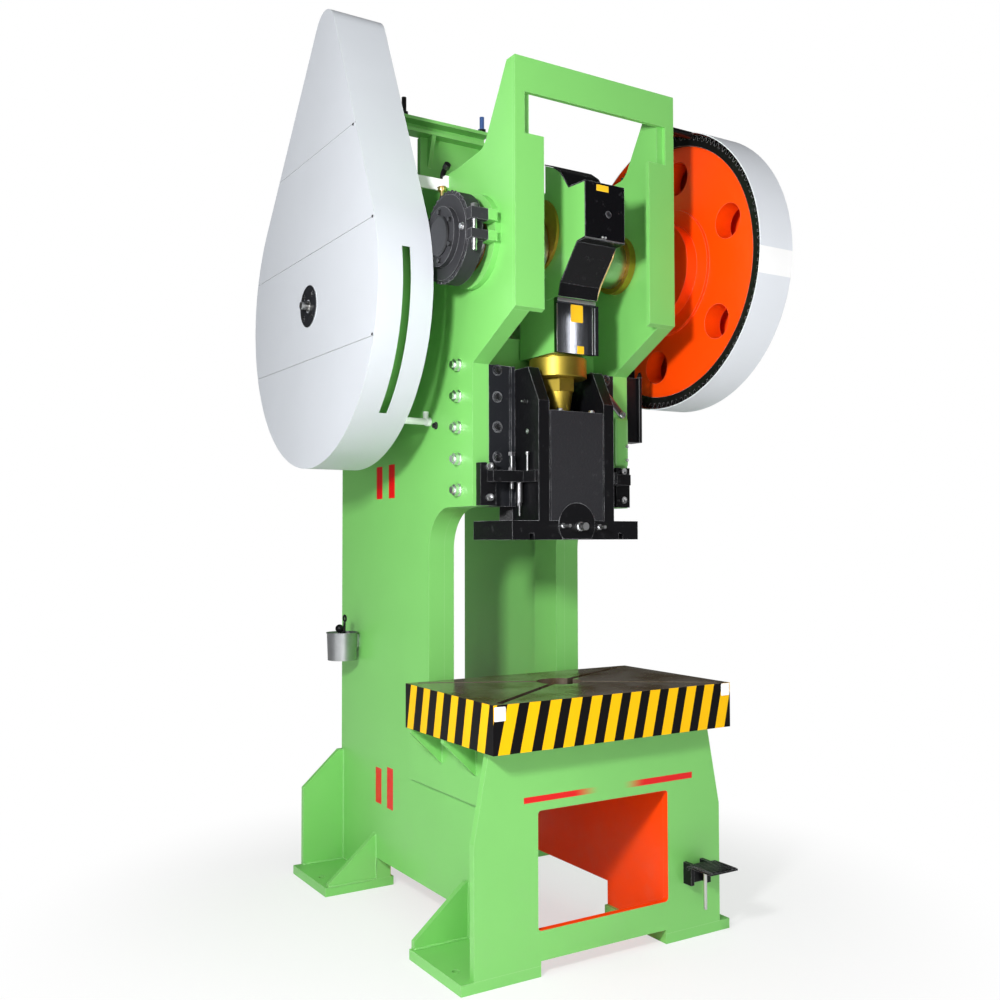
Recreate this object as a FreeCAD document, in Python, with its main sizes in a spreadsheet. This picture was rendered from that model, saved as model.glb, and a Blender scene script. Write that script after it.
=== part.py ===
"""C-frame geared power press: welded frame, crank drive, slide, guards and pedal.

Millimetres, +Z up. X runs from left to right as seen by someone who stands in front,
and the front faces -Y. The origin is on the floor, in the middle of the rectangle of
the four anchor bolt holes.
"""

import FreeCAD, Part
import math
import os

VEC = FreeCAD.Vector
MIRROR = (-1, 1)

SIZES = {
    # frame
    "side_out": 329.0, "side_thick": 63.0, "liner_thick": 40.0,
    "front_face": -645.0, "skin_thick": 25.0, "rear_edge": 743.0,
    "throat_back": -40.0, "throat_top": 1474.0, "throat_round": 150.0, "bed_top": 719.0,
    "head_front": -355.0, "head_slope_low": 1957.0, "head_slope_high": 2102.0,
    "crown_front": -625.0, "crown_thick": 16.0, "crown_top": 2910.0,
    "roof": 2650.0, "arch_top": 118.0,
    # feet
    "pad_out": 540.0, "pad_in": 253.0, "pad_long": 341.0, "pad_thick": 34.0,
    "anchor_x": 500.0, "anchor_y": 540.0, "anchor_hole": 12.0, "gusset_thick": 20.0,
    # bolster
    "bolster_half": 475.0, "bolster_front": -726.0, "bolster_back": -146.0,
    "bolster_thick": 150.0, "bolster_hole": 80.0, "slot_wide": 22.0, "slot_tee": 38.0,
    # drive axes
    "crank_y": -385.0, "crank_z": 2358.0, "back_y": 240.0, "back_z": 2220.0,
    "throw": 55.0, "journal": 85.0, "crank_pin": 70.0, "bush_out": 108.0,
    "conrod_half": 80.0, "conrod_ring": 150.0, "boss_thick": 24.0, "boss_out": 156.0,
    # gears
    "module_size": 8.0, "gear_teeth": 124.0, "pinion_teeth": 36.0,
    "gear_left": 484.0, "gear_wide": 110.0, "rim_bore": 464.0, "gear_hub": 182.0,
    "hole_ring": 350.0, "web_hole": 62.0,
    # slide
    "slide_half": 157.0, "slide_front": -497.0, "slide_back": -255.0,
    "slide_low": 1424.0, "slide_high": 1947.0, "flange_half": 262.0,
    "flange_front": -497.0, "flange_back": -244.0, "flange_low": 1360.0,
    "vee_tip": 190.0, "shank_bore": 25.0, "clamp_round": 75.0,
    # adjusting screw
    "screw_core": 42.0, "ball": 62.0, "ball_z": 1690.0, "nut_low": 1921.0, "nut_round": 100.0,
    # guards
    "guard_out": -680.0, "guard_in": -480.0, "guard_sheet": 3.0, "guard_big": 598.0,
    "guard_top_y": 100.0, "guard_top_z": 3175.0, "guard_top": 92.0,
    "gear_guard_out": 512.0, "gear_guard_left": 470.0, "gear_guard_right": 622.0,
    "flywheel": 540.0, "shaft": 55.0, "brake_drum": 140.0,
}


def formula(value):
    """The formula of a cell, or a plain number as text."""
    return value.formula if isinstance(value, Cell) else "(%r)" % float(value)


class Cell(float):
    """A number of the sheet, or one worked out from it, which remembers its formula."""

    def __new__(cls, number, text):
        cell = super().__new__(cls, number)
        cell.formula = text
        return cell

    def __add__(self, other):
        return Cell(float(self) + other, "(%s + %s)" % (self.formula, formula(other)))

    def __radd__(self, other):
        return Cell(other + float(self), "(%s + %s)" % (formula(other), self.formula))

    def __sub__(self, other):
        return Cell(float(self) - other, "(%s - %s)" % (self.formula, formula(other)))

    def __rsub__(self, other):
        return Cell(other - float(self), "(%s - %s)" % (formula(other), self.formula))

    def __mul__(self, other):
        return Cell(float(self) * other, "(%s * %s)" % (self.formula, formula(other)))

    def __rmul__(self, other):
        return Cell(other * float(self), "(%s * %s)" % (formula(other), self.formula))

    def __truediv__(self, other):
        return Cell(float(self) / other, "(%s / %s)" % (self.formula, formula(other)))

    def __neg__(self):
        return Cell(-float(self), "(-1 * %s)" % self.formula)


class Sizes:
    """The sheet's numbers, read by their names."""

    def __init__(self, table):
        self.table = table

    def __getattr__(self, alias):
        return Cell(float(self.table.get(alias)), "dims." + alias)


doc = FreeCAD.newDocument("stamping_press")
sheet = doc.addObject("Spreadsheet::Sheet", "dims")
for row, (alias, number) in enumerate(SIZES.items(), start=1):
    sheet.set("A%d" % row, alias)
    sheet.set("B%d" % row, repr(number))
    sheet.setAlias("B%d" % row, alias)
doc.recompute()
S = Sizes(sheet)

NODES = []


# ---------------------------------------------------------------- drawing helpers


def node(label, made):
    """Names a finished sub-part; a list of pieces that don't touch becomes one sub-part."""
    item = made
    if isinstance(made, list):
        item = doc.addObject("Part::Compound", label)
        item.Links = made
    item.Label = label
    NODES.append(item)
    return item


def bind(item, name, value):
    """Sets a size of a feature, and ties it to the sheet where it comes from there."""
    setattr(item, name, float(value))
    if isinstance(value, Cell):
        item.setExpression(name, value.formula)


def place(item, base, rotation=FreeCAD.Rotation()):
    """Puts a feature at base, with the coordinates that come from the sheet tied to it."""
    item.Placement = FreeCAD.Placement(VEC(*base), rotation)
    for axis, value in zip("xyz", base):
        if isinstance(value, Cell):
            item.setExpression(".Placement.Base." + axis, value.formula)


def rounded(points):
    """Lines and arcs of a closed outline. A point (u, v, r) has its corner rounded to r."""
    corners = []
    count = len(points)
    for i, point in enumerate(points):
        here = VEC(point[0], point[1], 0)
        if len(point) == 2:
            corners.append((here, here, None))
            continue
        before = VEC(points[i - 1][0], points[i - 1][1], 0) - here
        after = VEC(points[(i + 1) % count][0], points[(i + 1) % count][1], 0) - here
        before.normalize()
        after.normalize()
        half = before.getAngle(after) / 2
        reach = point[2] / math.tan(half)
        bisector = before + after
        bisector.normalize()
        middle = here + bisector * (point[2] / math.sin(half) - point[2])
        corners.append((here + before * reach, here + after * reach, middle))
    curves = []
    for i, (start, end, middle) in enumerate(corners):
        if middle is not None:
            curves.append(Part.Arc(start, middle, end))
        onward = corners[(i + 1) % count][0]
        if (onward - end).Length > 1e-6:
            curves.append(Part.LineSegment(end, onward))
    return curves


def circle(u, v, radius):
    """A circle of a sketch."""
    return Part.Circle(VEC(u, v, 0), VEC(0, 0, 1), radius)


def body_sketch(body, role, curves, offset=0.0):
    """A sketch on one of the body's own origin planes, moved along its normal."""
    plane = [item for item in body.Origin.OriginFeatures if item.Role == role][0]
    sketch = body.newObject("Sketcher::SketchObject", "outline")
    sketch.AttachmentSupport = [(plane, "")]
    sketch.MapMode = "FlatFace"
    sketch.AttachmentOffset = FreeCAD.Placement(VEC(0, 0, offset), FreeCAD.Rotation())
    sketch.addGeometry(curves, False)
    return sketch


def plate(plane, points, at, thick, holes=()):
    """A plate cut from an outline on the YZ, XZ or XY plane at a distance at along X, Y or
    Z. A plate on XZ grows towards the front, the others towards +X and +Z."""
    body = doc.addObject("PartDesign::Body", "plate")
    curves = rounded(points) + [circle(*hole) for hole in holes]
    pad = body.newObject("PartDesign::Pad", "pad")
    pad.Profile = body_sketch(body, plane + "_Plane", curves)
    bind(pad, "Length", thick)
    axis = {"YZ": 0, "XZ": 1, "XY": 2}[plane]
    place(body, [at if k == axis else 0.0 for k in range(3)])
    return body


def pocket(body, plane, curves, depth, offset=0.0):
    """Cuts curves into the body, both ways from the sketch's plane."""
    sketch = body_sketch(body, plane + "_Plane", curves, offset)
    removed = body.newObject("PartDesign::Pocket", "pocket")
    removed.Profile = sketch
    removed.SideType = "Symmetric"
    bind(removed, "Length", depth)
    return removed


def turned(axis, profile, base):
    """A piece turned about X, profile (x, radius), or about Z, profile (radius, z)."""
    body = doc.addObject("PartDesign::Body", "turned")
    role = "XY_Plane" if axis == "X" else "XZ_Plane"
    sketch = body_sketch(body, role, rounded(profile))
    turn = body.newObject("PartDesign::Revolution", "turn")
    turn.Profile = sketch
    turn.ReferenceAxis = (sketch, ["H_Axis" if axis == "X" else "V_Axis"])
    turn.Angle = 360
    place(body, base)
    return body


def box(x0, x1, y0, y1, z0, z1):
    """A block between two corners."""
    item = doc.addObject("Part::Box", "block")
    bind(item, "Length", x1 - x0)
    bind(item, "Width", y1 - y0)
    bind(item, "Height", z1 - z0)
    place(item, (x0, y0, z0))
    return item


def bar(kind, start, end, **sizes):
    """A primitive that stands on start and reaches to end."""
    item = doc.addObject("Part::" + kind, kind.lower())
    along = VEC(*end) - VEC(*start)
    length = along.Length
    for i in range(3):
        if abs(abs(along[i]) - length) < 1e-9:
            length = end[i] - start[i] if along[i] > 0 else start[i] - end[i]
            break
    bind(item, "Height", length)
    for name, value in sizes.items():
        bind(item, name, value)
    place(item, start, FreeCAD.Rotation(VEC(0, 0, 1), along))
    return item


def rod(start, end, radius):
    """A round bar from start to end."""
    return bar("Cylinder", start, end, Radius=radius)


def cone(start, end, first, last):
    """A round bar from start to end that tapers from the first to the last radius."""
    return bar("Cone", start, end, Radius1=first, Radius2=last)


def hexagon(start, end, across):
    """A hexagon bar from start to end, measured across its flats."""
    item = bar("Prism", start, end, Circumradius=across / math.sqrt(3))
    item.Polygon = 6
    return item


def ball(centre, radius):
    """A sphere."""
    item = doc.addObject("Part::Sphere", "ball")
    bind(item, "Radius", radius)
    place(item, centre)
    return item


def ring(centre, along, major, minor):
    """A round ring about the direction along."""
    item = doc.addObject("Part::Torus", "ring")
    bind(item, "Radius1", major)
    bind(item, "Radius2", minor)
    place(item, centre, FreeCAD.Rotation(VEC(0, 0, 1), VEC(*along)))
    return item


def together(pieces):
    """Several pieces that touch, as one solid."""
    item = doc.addObject("Part::MultiFuse", "fused")
    item.Shapes = pieces
    item.Refine = True
    return item


def cut(base, tools):
    """A piece less the tools."""
    item = doc.addObject("Part::Cut", "cut")
    item.Base = base
    item.Tool = tools[0] if len(tools) == 1 else together(tools)
    item.Refine = True
    return item


def common(base, tool):
    """What two pieces share."""
    item = doc.addObject("Part::Common", "common")
    item.Base = base
    item.Tool = tool
    return item


FRAMES = {
    "YZ": (FreeCAD.Rotation(VEC(0, 1, 0), VEC(0, 0, 1), VEC(1, 0, 0), "ZXY"), 0),
    "XZ": (FreeCAD.Rotation(VEC(1, 0, 0), VEC(0, 0, 1), VEC(0, -1, 0), "ZXY"), 1),
    "XY": (FreeCAD.Rotation(), 2),
}


def extruded(outline, plane, low, high):
    """A prism of an outline on YZ (along X), XZ (along Y) or XY (along Z), from low to
    high. The outline is corner points, or curves that are ready for the sketch."""
    rotation, axis = FRAMES[plane]
    sketch = doc.addObject("Sketcher::SketchObject", "profile")
    sketch.addGeometry(rounded(outline) if isinstance(outline[0], tuple) else outline, False)
    start = high if plane == "XZ" else low
    place(sketch, [start if k == axis else 0.0 for k in range(3)], rotation)
    item = doc.addObject("Part::Extrusion", "prism")
    item.Base = sketch
    item.DirMode = "Normal"
    item.Solid = True
    item.FaceMakerClass = "Part::FaceMakerBullseye"
    bind(item, "LengthFwd", high - low)
    return item


def hull_outline(big, small):
    """Closed lines and arcs round two circles (u, v, radius), the second the smaller."""
    bu, bv, br = big
    su, sv, sr = small
    away = math.atan2(sv - bv, su - bu)
    lean = math.acos((br - sr) / math.hypot(su - bu, sv - bv))
    right, left = away - lean, away + lean

    def at(u, v, radius, angle):
        return VEC(u + radius * math.cos(angle), v + radius * math.sin(angle), 0)

    return [
        Part.LineSegment(at(bu, bv, br, right), at(su, sv, sr, right)),
        Part.Arc(at(su, sv, sr, right), at(su, sv, sr, away), at(su, sv, sr, left)),
        Part.LineSegment(at(su, sv, sr, left), at(bu, bv, br, left)),
        Part.Arc(at(bu, bv, br, left), at(bu, bv, br, away + math.pi), at(bu, bv, br, right)),
    ]


# ---------------------------------------------------------------- frame


def side_plates():
    """The two flame-cut side plates: feet, arch, throat, head and crown in one piece each."""
    front = S.front_face + S.skin_thick
    crown_back = S.crown_front + S.crown_thick
    slope = (S.head_slope_high - S.head_slope_low) / (S.crown_front - S.head_front)
    slope_end = S.head_slope_low + slope * (crown_back - S.head_front)
    rear_foot, front_foot = S.rear_edge - S.pad_long - 1.0, S.front_face + S.pad_long
    outline = [
        (front, S.pad_thick), (front, S.bed_top), (S.throat_back, S.bed_top, 60.0),
        (S.throat_back, S.throat_top, S.throat_round), (S.head_front, S.throat_top),
        (S.head_front, S.head_slope_low), (crown_back, slope_end), (crown_back, S.crown_top),
        (-575.0, S.crown_top), (-430.0, S.roof + 16.0, 60.0), (-250.0, S.roof),
        (S.rear_edge, S.roof), (S.rear_edge, S.pad_thick), (rear_foot, S.pad_thick),
        (rear_foot, S.arch_top), (front_foot, S.arch_top), (front_foot, S.pad_thick),
    ]
    bores = [(S.crank_y, S.crank_z, 105.0), (S.back_y, S.back_z, 95.0)]
    node("side_plate_left", plate("YZ", outline, -S.side_out, S.side_thick, bores))
    node("side_plate_right", plate("YZ", outline, S.side_out - S.side_thick, S.side_thick,
                                   bores))


def doublers():
    """Bars that double the throat's edge inside, and plates beside the bed outside."""
    throat = [
        (S.throat_back, S.bed_top), (110.0, S.bed_top), (110.0, 1640.0), (-205.0, 1640.0),
        (-205.0, S.throat_top), (S.throat_back, S.throat_top, S.throat_round),
    ]
    inner = S.side_out - S.side_thick
    front = S.front_face + S.skin_thick
    bed = [(front, 490.0), (75.0, 490.0), (75.0, S.bed_top), (front, S.bed_top)]
    node("side_doublers", [
        plate("YZ", throat, -inner, S.liner_thick),
        plate("YZ", throat, inner - S.liner_thick, S.liner_thick),
        plate("YZ", bed, -S.side_out - 20.0, 20.0),
        plate("YZ", bed, S.side_out, 20.0)])


def crown_frame():
    """The window-shaped plate across the front of the crown, stepped in the legs."""
    bottom = 2060.0
    outer = [
        (-S.side_out, bottom), (-218.0, bottom), (-218.0, 2663.0), (-292.0, 2663.0),
        (-292.0, 2797.0), (292.0, 2797.0), (292.0, 2663.0), (218.0, 2663.0), (218.0, bottom),
        (S.side_out, bottom), (S.side_out, S.crown_top), (-S.side_out, S.crown_top),
    ]
    body = plate("XZ", outer, S.crown_front + S.crown_thick, S.crown_thick)
    slope = (S.head_slope_high - S.head_slope_low) / (S.head_front - S.crown_front)
    back = S.crown_thick
    wedge = [(-back - 5.0, 2000.0), (5.0, 2000.0),
             (5.0, S.head_slope_high - slope * (back + 5.0)),
             (-back - 5.0, S.head_slope_high + slope * 5.0)]
    pocket(body, "YZ", rounded(wedge), 2 * S.side_out + 40.0)
    node("crown_front_frame", body)


def base_front():
    """The front skin of the base: wider than the side plates, with a window."""
    low = S.pad_thick
    outline = [
        (-495.0, low), (-S.pad_in, low), (-S.pad_in, 48.0), (S.pad_in, 48.0), (S.pad_in, low),
        (495.0, low), (495.0, 440.0), (445.0, 700.0), (445.0, S.bed_top),
        (-445.0, S.bed_top), (-445.0, 700.0), (-495.0, 440.0),
    ]
    body = plate("XZ", outline, S.front_face + S.skin_thick, S.skin_thick)
    window = rounded([(-263.0, 141.0, 12.0), (263.0, 141.0, 12.0),
                      (263.0, 513.0, 12.0), (-263.0, 513.0, 12.0)])
    pocket(body, "XZ", window, 120.0)
    node("base_front_plate", body)


def cross_plates():
    """The plates that tie the side plates together, from the bed up to the crown."""
    inner = S.side_out - S.side_thick
    front = S.front_face + S.skin_thick
    node("bed_plate", plate(
        "XY", [(-inner, front), (inner, front), (inner, S.throat_back),
               (-inner, S.throat_back)],
        S.bed_top - 40.0, 40.0, [(0.0, S.crank_y, 95.0)]))
    upright = [(-inner, 118.0), (inner, 118.0), (inner, 690.0), (-inner, 690.0)]
    head = [(-inner, 1640.0), (inner, 1640.0), (inner, S.roof), (-inner, S.roof)]
    node("rear_plates", [
        plate("XZ", upright, S.rear_edge, S.skin_thick),
        plate("XZ", head, S.rear_edge, S.skin_thick, [(0.0, S.back_z, 150.0)])])
    guide = [(-inner, S.throat_top), (inner, S.throat_top), (inner, 2080.0), (-inner, 2080.0)]
    node("head_guide_plate", plate("XZ", guide, -205.0, 30.0))
    crown = [(-inner, 2440.0), (inner, 2440.0), (inner, 2905.0), (-inner, 2905.0)]
    node("crown_panel", plate("XZ", crown, 175.0, S.skin_thick))


def feet():
    """Floor pads with an anchor hole, and the gussets that brace them to the side plates."""
    pads, gussets = [], []
    for sign in MIRROR:
        near, far = sorted((sign * S.pad_in, sign * S.pad_out))
        for start, hole_y in ((S.front_face, -S.anchor_y),
                              (S.rear_edge - S.pad_long, S.anchor_y)):
            pads.append(plate("XY", [
                (near, start), (far, start), (far, start + S.pad_long),
                (near, start + S.pad_long)],
                0.0, S.pad_thick, [(sign * S.anchor_x, hole_y, S.anchor_hole)]))
        low, face = S.pad_thick, sign * S.side_out
        flat = [(face, low), (face, 218.0), (face + sign * 14.0, 218.0),
                (sign * 532.0, 60.0), (sign * 532.0, low)]
        steep = [(face, low), (face, 212.0), (sign * 529.0, 44.0), (sign * 529.0, low)]
        tall = [(face, low), (face, 487.0), (sign * 351.0, 487.0),
                (sign * 506.0, 346.0), (sign * 506.0, low)]
        front_back = S.front_face + S.pad_long
        rear_front = S.rear_edge - S.pad_long
        gussets += [extruded(flat, "XZ", front_back - S.gusset_thick, front_back),
                    extruded(steep, "XZ", rear_front, rear_front + S.gusset_thick),
                    extruded(tall, "XZ", S.rear_edge - S.gusset_thick, S.rear_edge)]
    node("foot_pads", pads)
    node("foot_gussets", gussets)


def bed_supports():
    """Two triangular brackets a side under the bolster."""
    brackets = []
    for sign in MIRROR:
        root = sign * (S.side_out + 20.0)
        bracket = [(root, 585.0), (root, S.bed_top), (sign * 470.0, S.bed_top),
                   (sign * 470.0, 704.0)]
        brackets += [extruded(bracket, "XZ", y, y + S.gusset_thick) for y in (-410.0, -177.0)]
    node("bolster_brackets", brackets)


def motor_stand():
    """The channel on the crown panel that carries the tensioning studs of the motor plate."""
    low, high = 2905.0, 2962.0
    web = [(105.0, low), (165.0, low), (165.0, high), (105.0, high), (105.0, high - 12.0),
           (153.0, high - 12.0), (153.0, low + 12.0), (105.0, low + 12.0)]
    gusset = [(150.0, 2790.0), (150.0, low + 1.0), (108.0, low + 1.0)]
    node("motor_beam", together([extruded(web, "YZ", -360.0, 20.0)] + [
        extruded(gusset, "YZ", x, x + 15.0) for x in (-235.0, 3.0)]))
    node("tension_studs", [
        together([rod((x, 126.0, high + 12.0), (x, 126.0, top), 9.0),
                  hexagon((x, 126.0, high), (x, 126.0, high + 14.0), 30.0)])
        for x, top in ((-348.0, 3032.0), (-6.0, 3026.0))])


# ---------------------------------------------------------------- bolster


def bolster():
    """The bolster plate with a round drop hole and four T-slots from it to the corners."""
    front, back, half = S.bolster_front, S.bolster_back, S.bolster_half
    body = plate("XY", [(-half, front), (half, front), (half, back), (-half, back)],
                 S.bed_top, S.bolster_thick, [(0.0, S.crank_y, S.bolster_hole)])
    for level, wide, depth in ((S.bolster_thick, S.slot_wide, 80.0),
                               (S.bolster_thick - 32.0, S.slot_tee, 16.0)):
        curves = []
        for sign in MIRROR:
            for edge in (front, back):
                corner = VEC(sign * half, edge, 0)
                centre = VEC(0, S.crank_y, 0)
                along = corner - centre
                reach = along.Length - 42.0
                along.normalize()
                across = VEC(-along.y, along.x, 0) * (wide / 2)
                inner, outer = centre + along * (S.bolster_hole - 8.0), centre + along * reach
                corners = [inner - across, outer - across, outer + across, inner + across]
                curves += rounded([(p.x, p.y) for p in corners])
        pocket(body, "XY", curves, depth, level)
    node("bolster", body)


# ---------------------------------------------------------------- head and gibs


def gibs():
    """The two vee gibs, their cap screws, and the adjusting studs through the side plates."""
    inner = S.side_out - S.side_thick
    middle = (S.slide_back - 345.0) / 2
    gap = 0.4
    for side, sign in (("left", -1), ("right", 1)):
        near = sign * (S.slide_half + 3.0)
        tip = sign * (S.vee_tip + gap)
        slope = S.vee_tip - S.slide_half
        outline = [
            (sign * inner, S.head_front), (sign * 183.0, S.head_front),
            (sign * 183.0, S.head_front + 7.0), (sign * 175.0, S.head_front + 7.0),
            (sign * 175.0, S.head_front), (near, S.head_front),
            (near, middle - slope + 3.0 - gap), (tip, middle), (near, middle + slope - 3.0 + gap),
            (near, -240.0), (sign * inner, -240.0)]
        node("gib_" + side, plate("XY", outline, S.throat_top,
                                  S.head_slope_low - S.throat_top))
    face = S.head_front
    heads = [rod((x, face - 9.0, z), (x, face, z), 10.0)
             for x in (-232.0, 232.0) for z in (1940.0, 1848.0, 1745.0, 1642.0)]
    heads += [rod((x, face - 42.0, z), (x, face - 30.0, z), 13.0)
              for x in (-283.0, 283.0) for z in (1607.0, 1503.0)]
    node("head_cap_screws", heads)
    studs = []
    for sign in MIRROR:
        out = sign * S.side_out
        for z in (1962.0, 1854.0, 1746.0, 1638.0, 1531.0):
            studs.append(together([
                rod((out, -261.0, z), (out + sign * 4.0, -261.0, z), 22.0),
                hexagon((out + sign * 4.0, -261.0, z), (out + sign * 22.0, -261.0, z), 36.0),
                rod((out + sign * 22.0, -261.0, z), (out + sign * 32.0, -261.0, z), 12.0)]))
    node("gib_studs", studs)


def knockout():
    """Brackets on the head's front edges that carry the knockout stop bolts."""
    brackets, stops = [], []
    face = S.head_front - 30.0
    for sign in MIRROR:
        def across(near, far):
            return sorted((sign * near, sign * far))
        brackets.append(together([
            box(*across(256.0, 316.0), face, S.head_front, 1476.0, 1620.0),
            box(*across(S.slide_half + 3.0, 290.0), face - 39.0, face, 1555.0, 1593.0),
            box(*across(S.slide_half + 3.0, 172.0), S.slide_front, face - 38.0,
                1555.0, 1593.0)]))
        x, y = sign * 205.0, face - 19.0
        stops.append(together([
            hexagon((x, y, 1645.0), (x, y, 1657.0), 22.0),
            rod((x, y, 1603.0), (x, y, 1645.5), 6.0),
            hexagon((x, y, 1593.0), (x, y, 1604.0), 22.0)]))
        stops.append(rod((x, y, 1532.0), (x, y, 1555.0), 6.0))
        stops.append(together([
            rod((sign * 168.0, face - 60.0, 1593.0), (sign * 168.0, face - 60.0, 1650.0), 5.0),
            rod((sign * 168.0, face - 60.0, 1648.0), (sign * 168.0, face - 60.0, 1657.0), 8.0)]))
        x = sign * 174.0
        stops.append(together([
            rod((x, y, 1486.0), (x, y, 1555.0), 12.0),
            hexagon((x, y, 1475.0), (x, y, 1487.0), 15.0),
            rod((x, y, 1441.0), (x, y, 1476.0), 4.0)]))
    node("knockout_brackets", brackets)
    node("knockout_stops", stops)


def oiler():
    """The oil distributor box on the right side plate, with its bright guide rod."""
    node("oiler", [
        box(S.side_out, 400.0, -355.0, -292.0, 1719.0, 1958.0),
        box(S.side_out, 463.0, -236.0, -226.0, 1966.0, 2048.0),
        together([rod((384.0, -362.0, 1719.0), (384.0, -362.0, 1959.5), 7.0),
                  cone((384.0, -362.0, 1959.0), (384.0, -362.0, 1979.0), 11.0, 4.0)])])


# ---------------------------------------------------------------- crank drive


def bearings():
    """Bronze main bushes, the bosses round them, and the flanged back-shaft housings."""
    outer, inner = S.side_out, S.side_out - S.side_thick
    crank, back = (0.0, S.crank_y, S.crank_z), (0.0, S.back_y, S.back_z)
    bosses, bushes, housings = [], [], []
    for sign in MIRROR:
        low, high = sorted((sign * outer, sign * (outer + S.boss_thick)))
        bosses.append(turned("X", [(low, 106.0), (low, S.boss_out), (high, S.boss_out),
                                   (high, 106.0)], crank))
        low, high = sorted((sign * (inner - 26.0), sign * (outer + 14.0)))
        bushes.append(turned("X", [(low, S.journal + 0.06), (low, 104.7), (high, 104.7),
                                   (high, S.journal + 0.06)], crank))
        ends = [(sign * inner, 94.7), (sign * outer, 94.7), (sign * outer, 140.0),
                (sign * (outer + 24.0), 140.0), (sign * (outer + 24.0), 120.0),
                (sign * (outer + 60.0), 110.0), (sign * (outer + 60.0), S.shaft + 0.06),
                (sign * inner, S.shaft + 0.06)]
        housings.append(turned("X", ends, back))
    node("main_bosses", bosses)
    node("main_bushes", bushes)
    node("back_housings", housings)


def crankshaft():
    """The crankshaft: journals, webs, a crankpin of half the throw, brake and gear seats."""
    half = S.throw / 2
    y, z = S.crank_y, S.crank_z
    gear_end = S.gear_guard_right - 14.0
    pieces = [
        rod((-472.0, y, z), (-345.0, y, z), 60.0),
        rod((-346.0, y, z), (-214.0, y, z), S.journal),
        rod((214.0, y, z), (346.0, y, z), S.journal),
        rod((345.0, y, z), (gear_end, y, z), 75.0),
        rod((-110.0, y, z + half), (110.0, y, z + half), S.crank_pin),
    ]
    for sign in MIRROR:
        low, high = sorted((sign * 96.0, sign * 215.0))
        web = hull_outline((y, z, S.journal), (y, z + half, 80.0))
        pieces.append(extruded(web, "YZ", low, high))
    node("crankshaft", together(pieces))
    node("crank_end_plates", [
        turned("X", [(gear_end, 0.0), (gear_end, 95.0), (gear_end + 8.0, 95.0),
                     (gear_end + 8.0, 0.0)], (0.0, y, z)),
        turned("X", [(-479.0, 0.0), (-479.0, 60.0), (-476.0, 66.0), (-472.0, 66.0),
                     (-472.0, 0.0)], (0.0, y, z))])


def eccentric_bush():
    """The bronze bush on the crankpin: bore round the pin, outside round the conrod's bore."""
    y, pin, centre = S.crank_y, S.crank_z + S.throw / 2, S.crank_z + S.throw
    pieces = [rod((-92.0, y, centre), (92.0, y, centre), S.bush_out)]
    for low, high in ((-92.0, -81.0), (81.0, 92.0)):
        pieces.append(rod((low, y, centre), (high, y, centre), 128.0))
    bore = rod((-100.0, y, pin), (100.0, y, pin), S.crank_pin + 0.06)
    node("eccentric_bush", cut(together(pieces), [bore]))


def conrod():
    """The connecting rod: big-end ring, front block, shank and threaded lower end."""
    y, z = S.crank_y, S.crank_z + S.throw
    half = S.conrod_half
    block = [(-428.0, 2184.0), (-428.0, 2652.0), (-475.0, 2632.0), (-516.0, 2603.0),
             (-566.0, 2537.0), (-657.0, 2533.0), (-657.0, 2353.0), (-613.0, 2348.0),
             (-514.0, 2229.0), (-502.0, 2184.0)]
    shank = [(-480.0, 2000.0), (-250.0, 2000.0), (-262.0, 2330.0), (-480.0, 2330.0)]
    shape = together([
        rod((-half, y, z), (half, y, z), S.conrod_ring), extruded(block, "YZ", -half, half),
        extruded(shank, "YZ", -72.0, 72.0)])
    bore = rod((-half - 5.0, y, z), (half + 5.0, y, z), S.bush_out + 0.06)
    thread = rod((0.0, y, 1990.0), (0.0, y, 2250.0), S.screw_core + 0.3)
    node("conrod", cut(shape, [bore, thread]))


def hood():
    """Black sheet covers on the conrod's front: crown piece, slanted panel, lower cover."""
    half = 81.0
    crown = [(-657.3, 2353.3), (-661.0, 2349.6), (-661.0, 2537.0), (-568.0, 2541.6),
             (-519.5, 2607.5), (-477.0, 2637.5), (-426.0, 2658.0), (-426.0, 2654.0),
             (-475.0, 2633.6), (-516.4, 2604.6), (-566.4, 2538.4), (-657.3, 2533.4)]
    slant = [(-661.0, 2349.0), (-661.0, 2344.6), (-616.0, 2343.4), (-518.6, 2227.4),
             (-506.4, 2184.5), (-502.5, 2184.5), (-514.8, 2228.8), (-613.8, 2347.5),
             (-657.4, 2352.4)]
    node("hood_covers", [extruded(crown, "YZ", -half, half),
                         extruded(slant, "YZ", -half, half)])
    node("lower_cover", together([
        box(-half, half, -495.0, -480.0, 1996.0, 2168.5),
        box(half - 0.5, 94.0, -497.0, -493.0, 1996.0, 2168.0),
        box(-half, half, -500.0, -480.0, 2168.0, 2183.5)]))
    line = [(85.0, -604.0, 2350.0), (85.0, -592.0, 2318.0), (85.0, -524.0, 2236.0),
            (85.0, -497.5, 2189.0)]
    ends = [rod((S.conrod_half, y, z), (85.0, y, z), 3.5)
            for _, y, z in (line[0], line[-1])]
    node("grease_line", together(
        [rod(line[k], line[k + 1], 3.5) for k in range(3)]
        + [ball(point, 3.5) for point in line] + ends))


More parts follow.
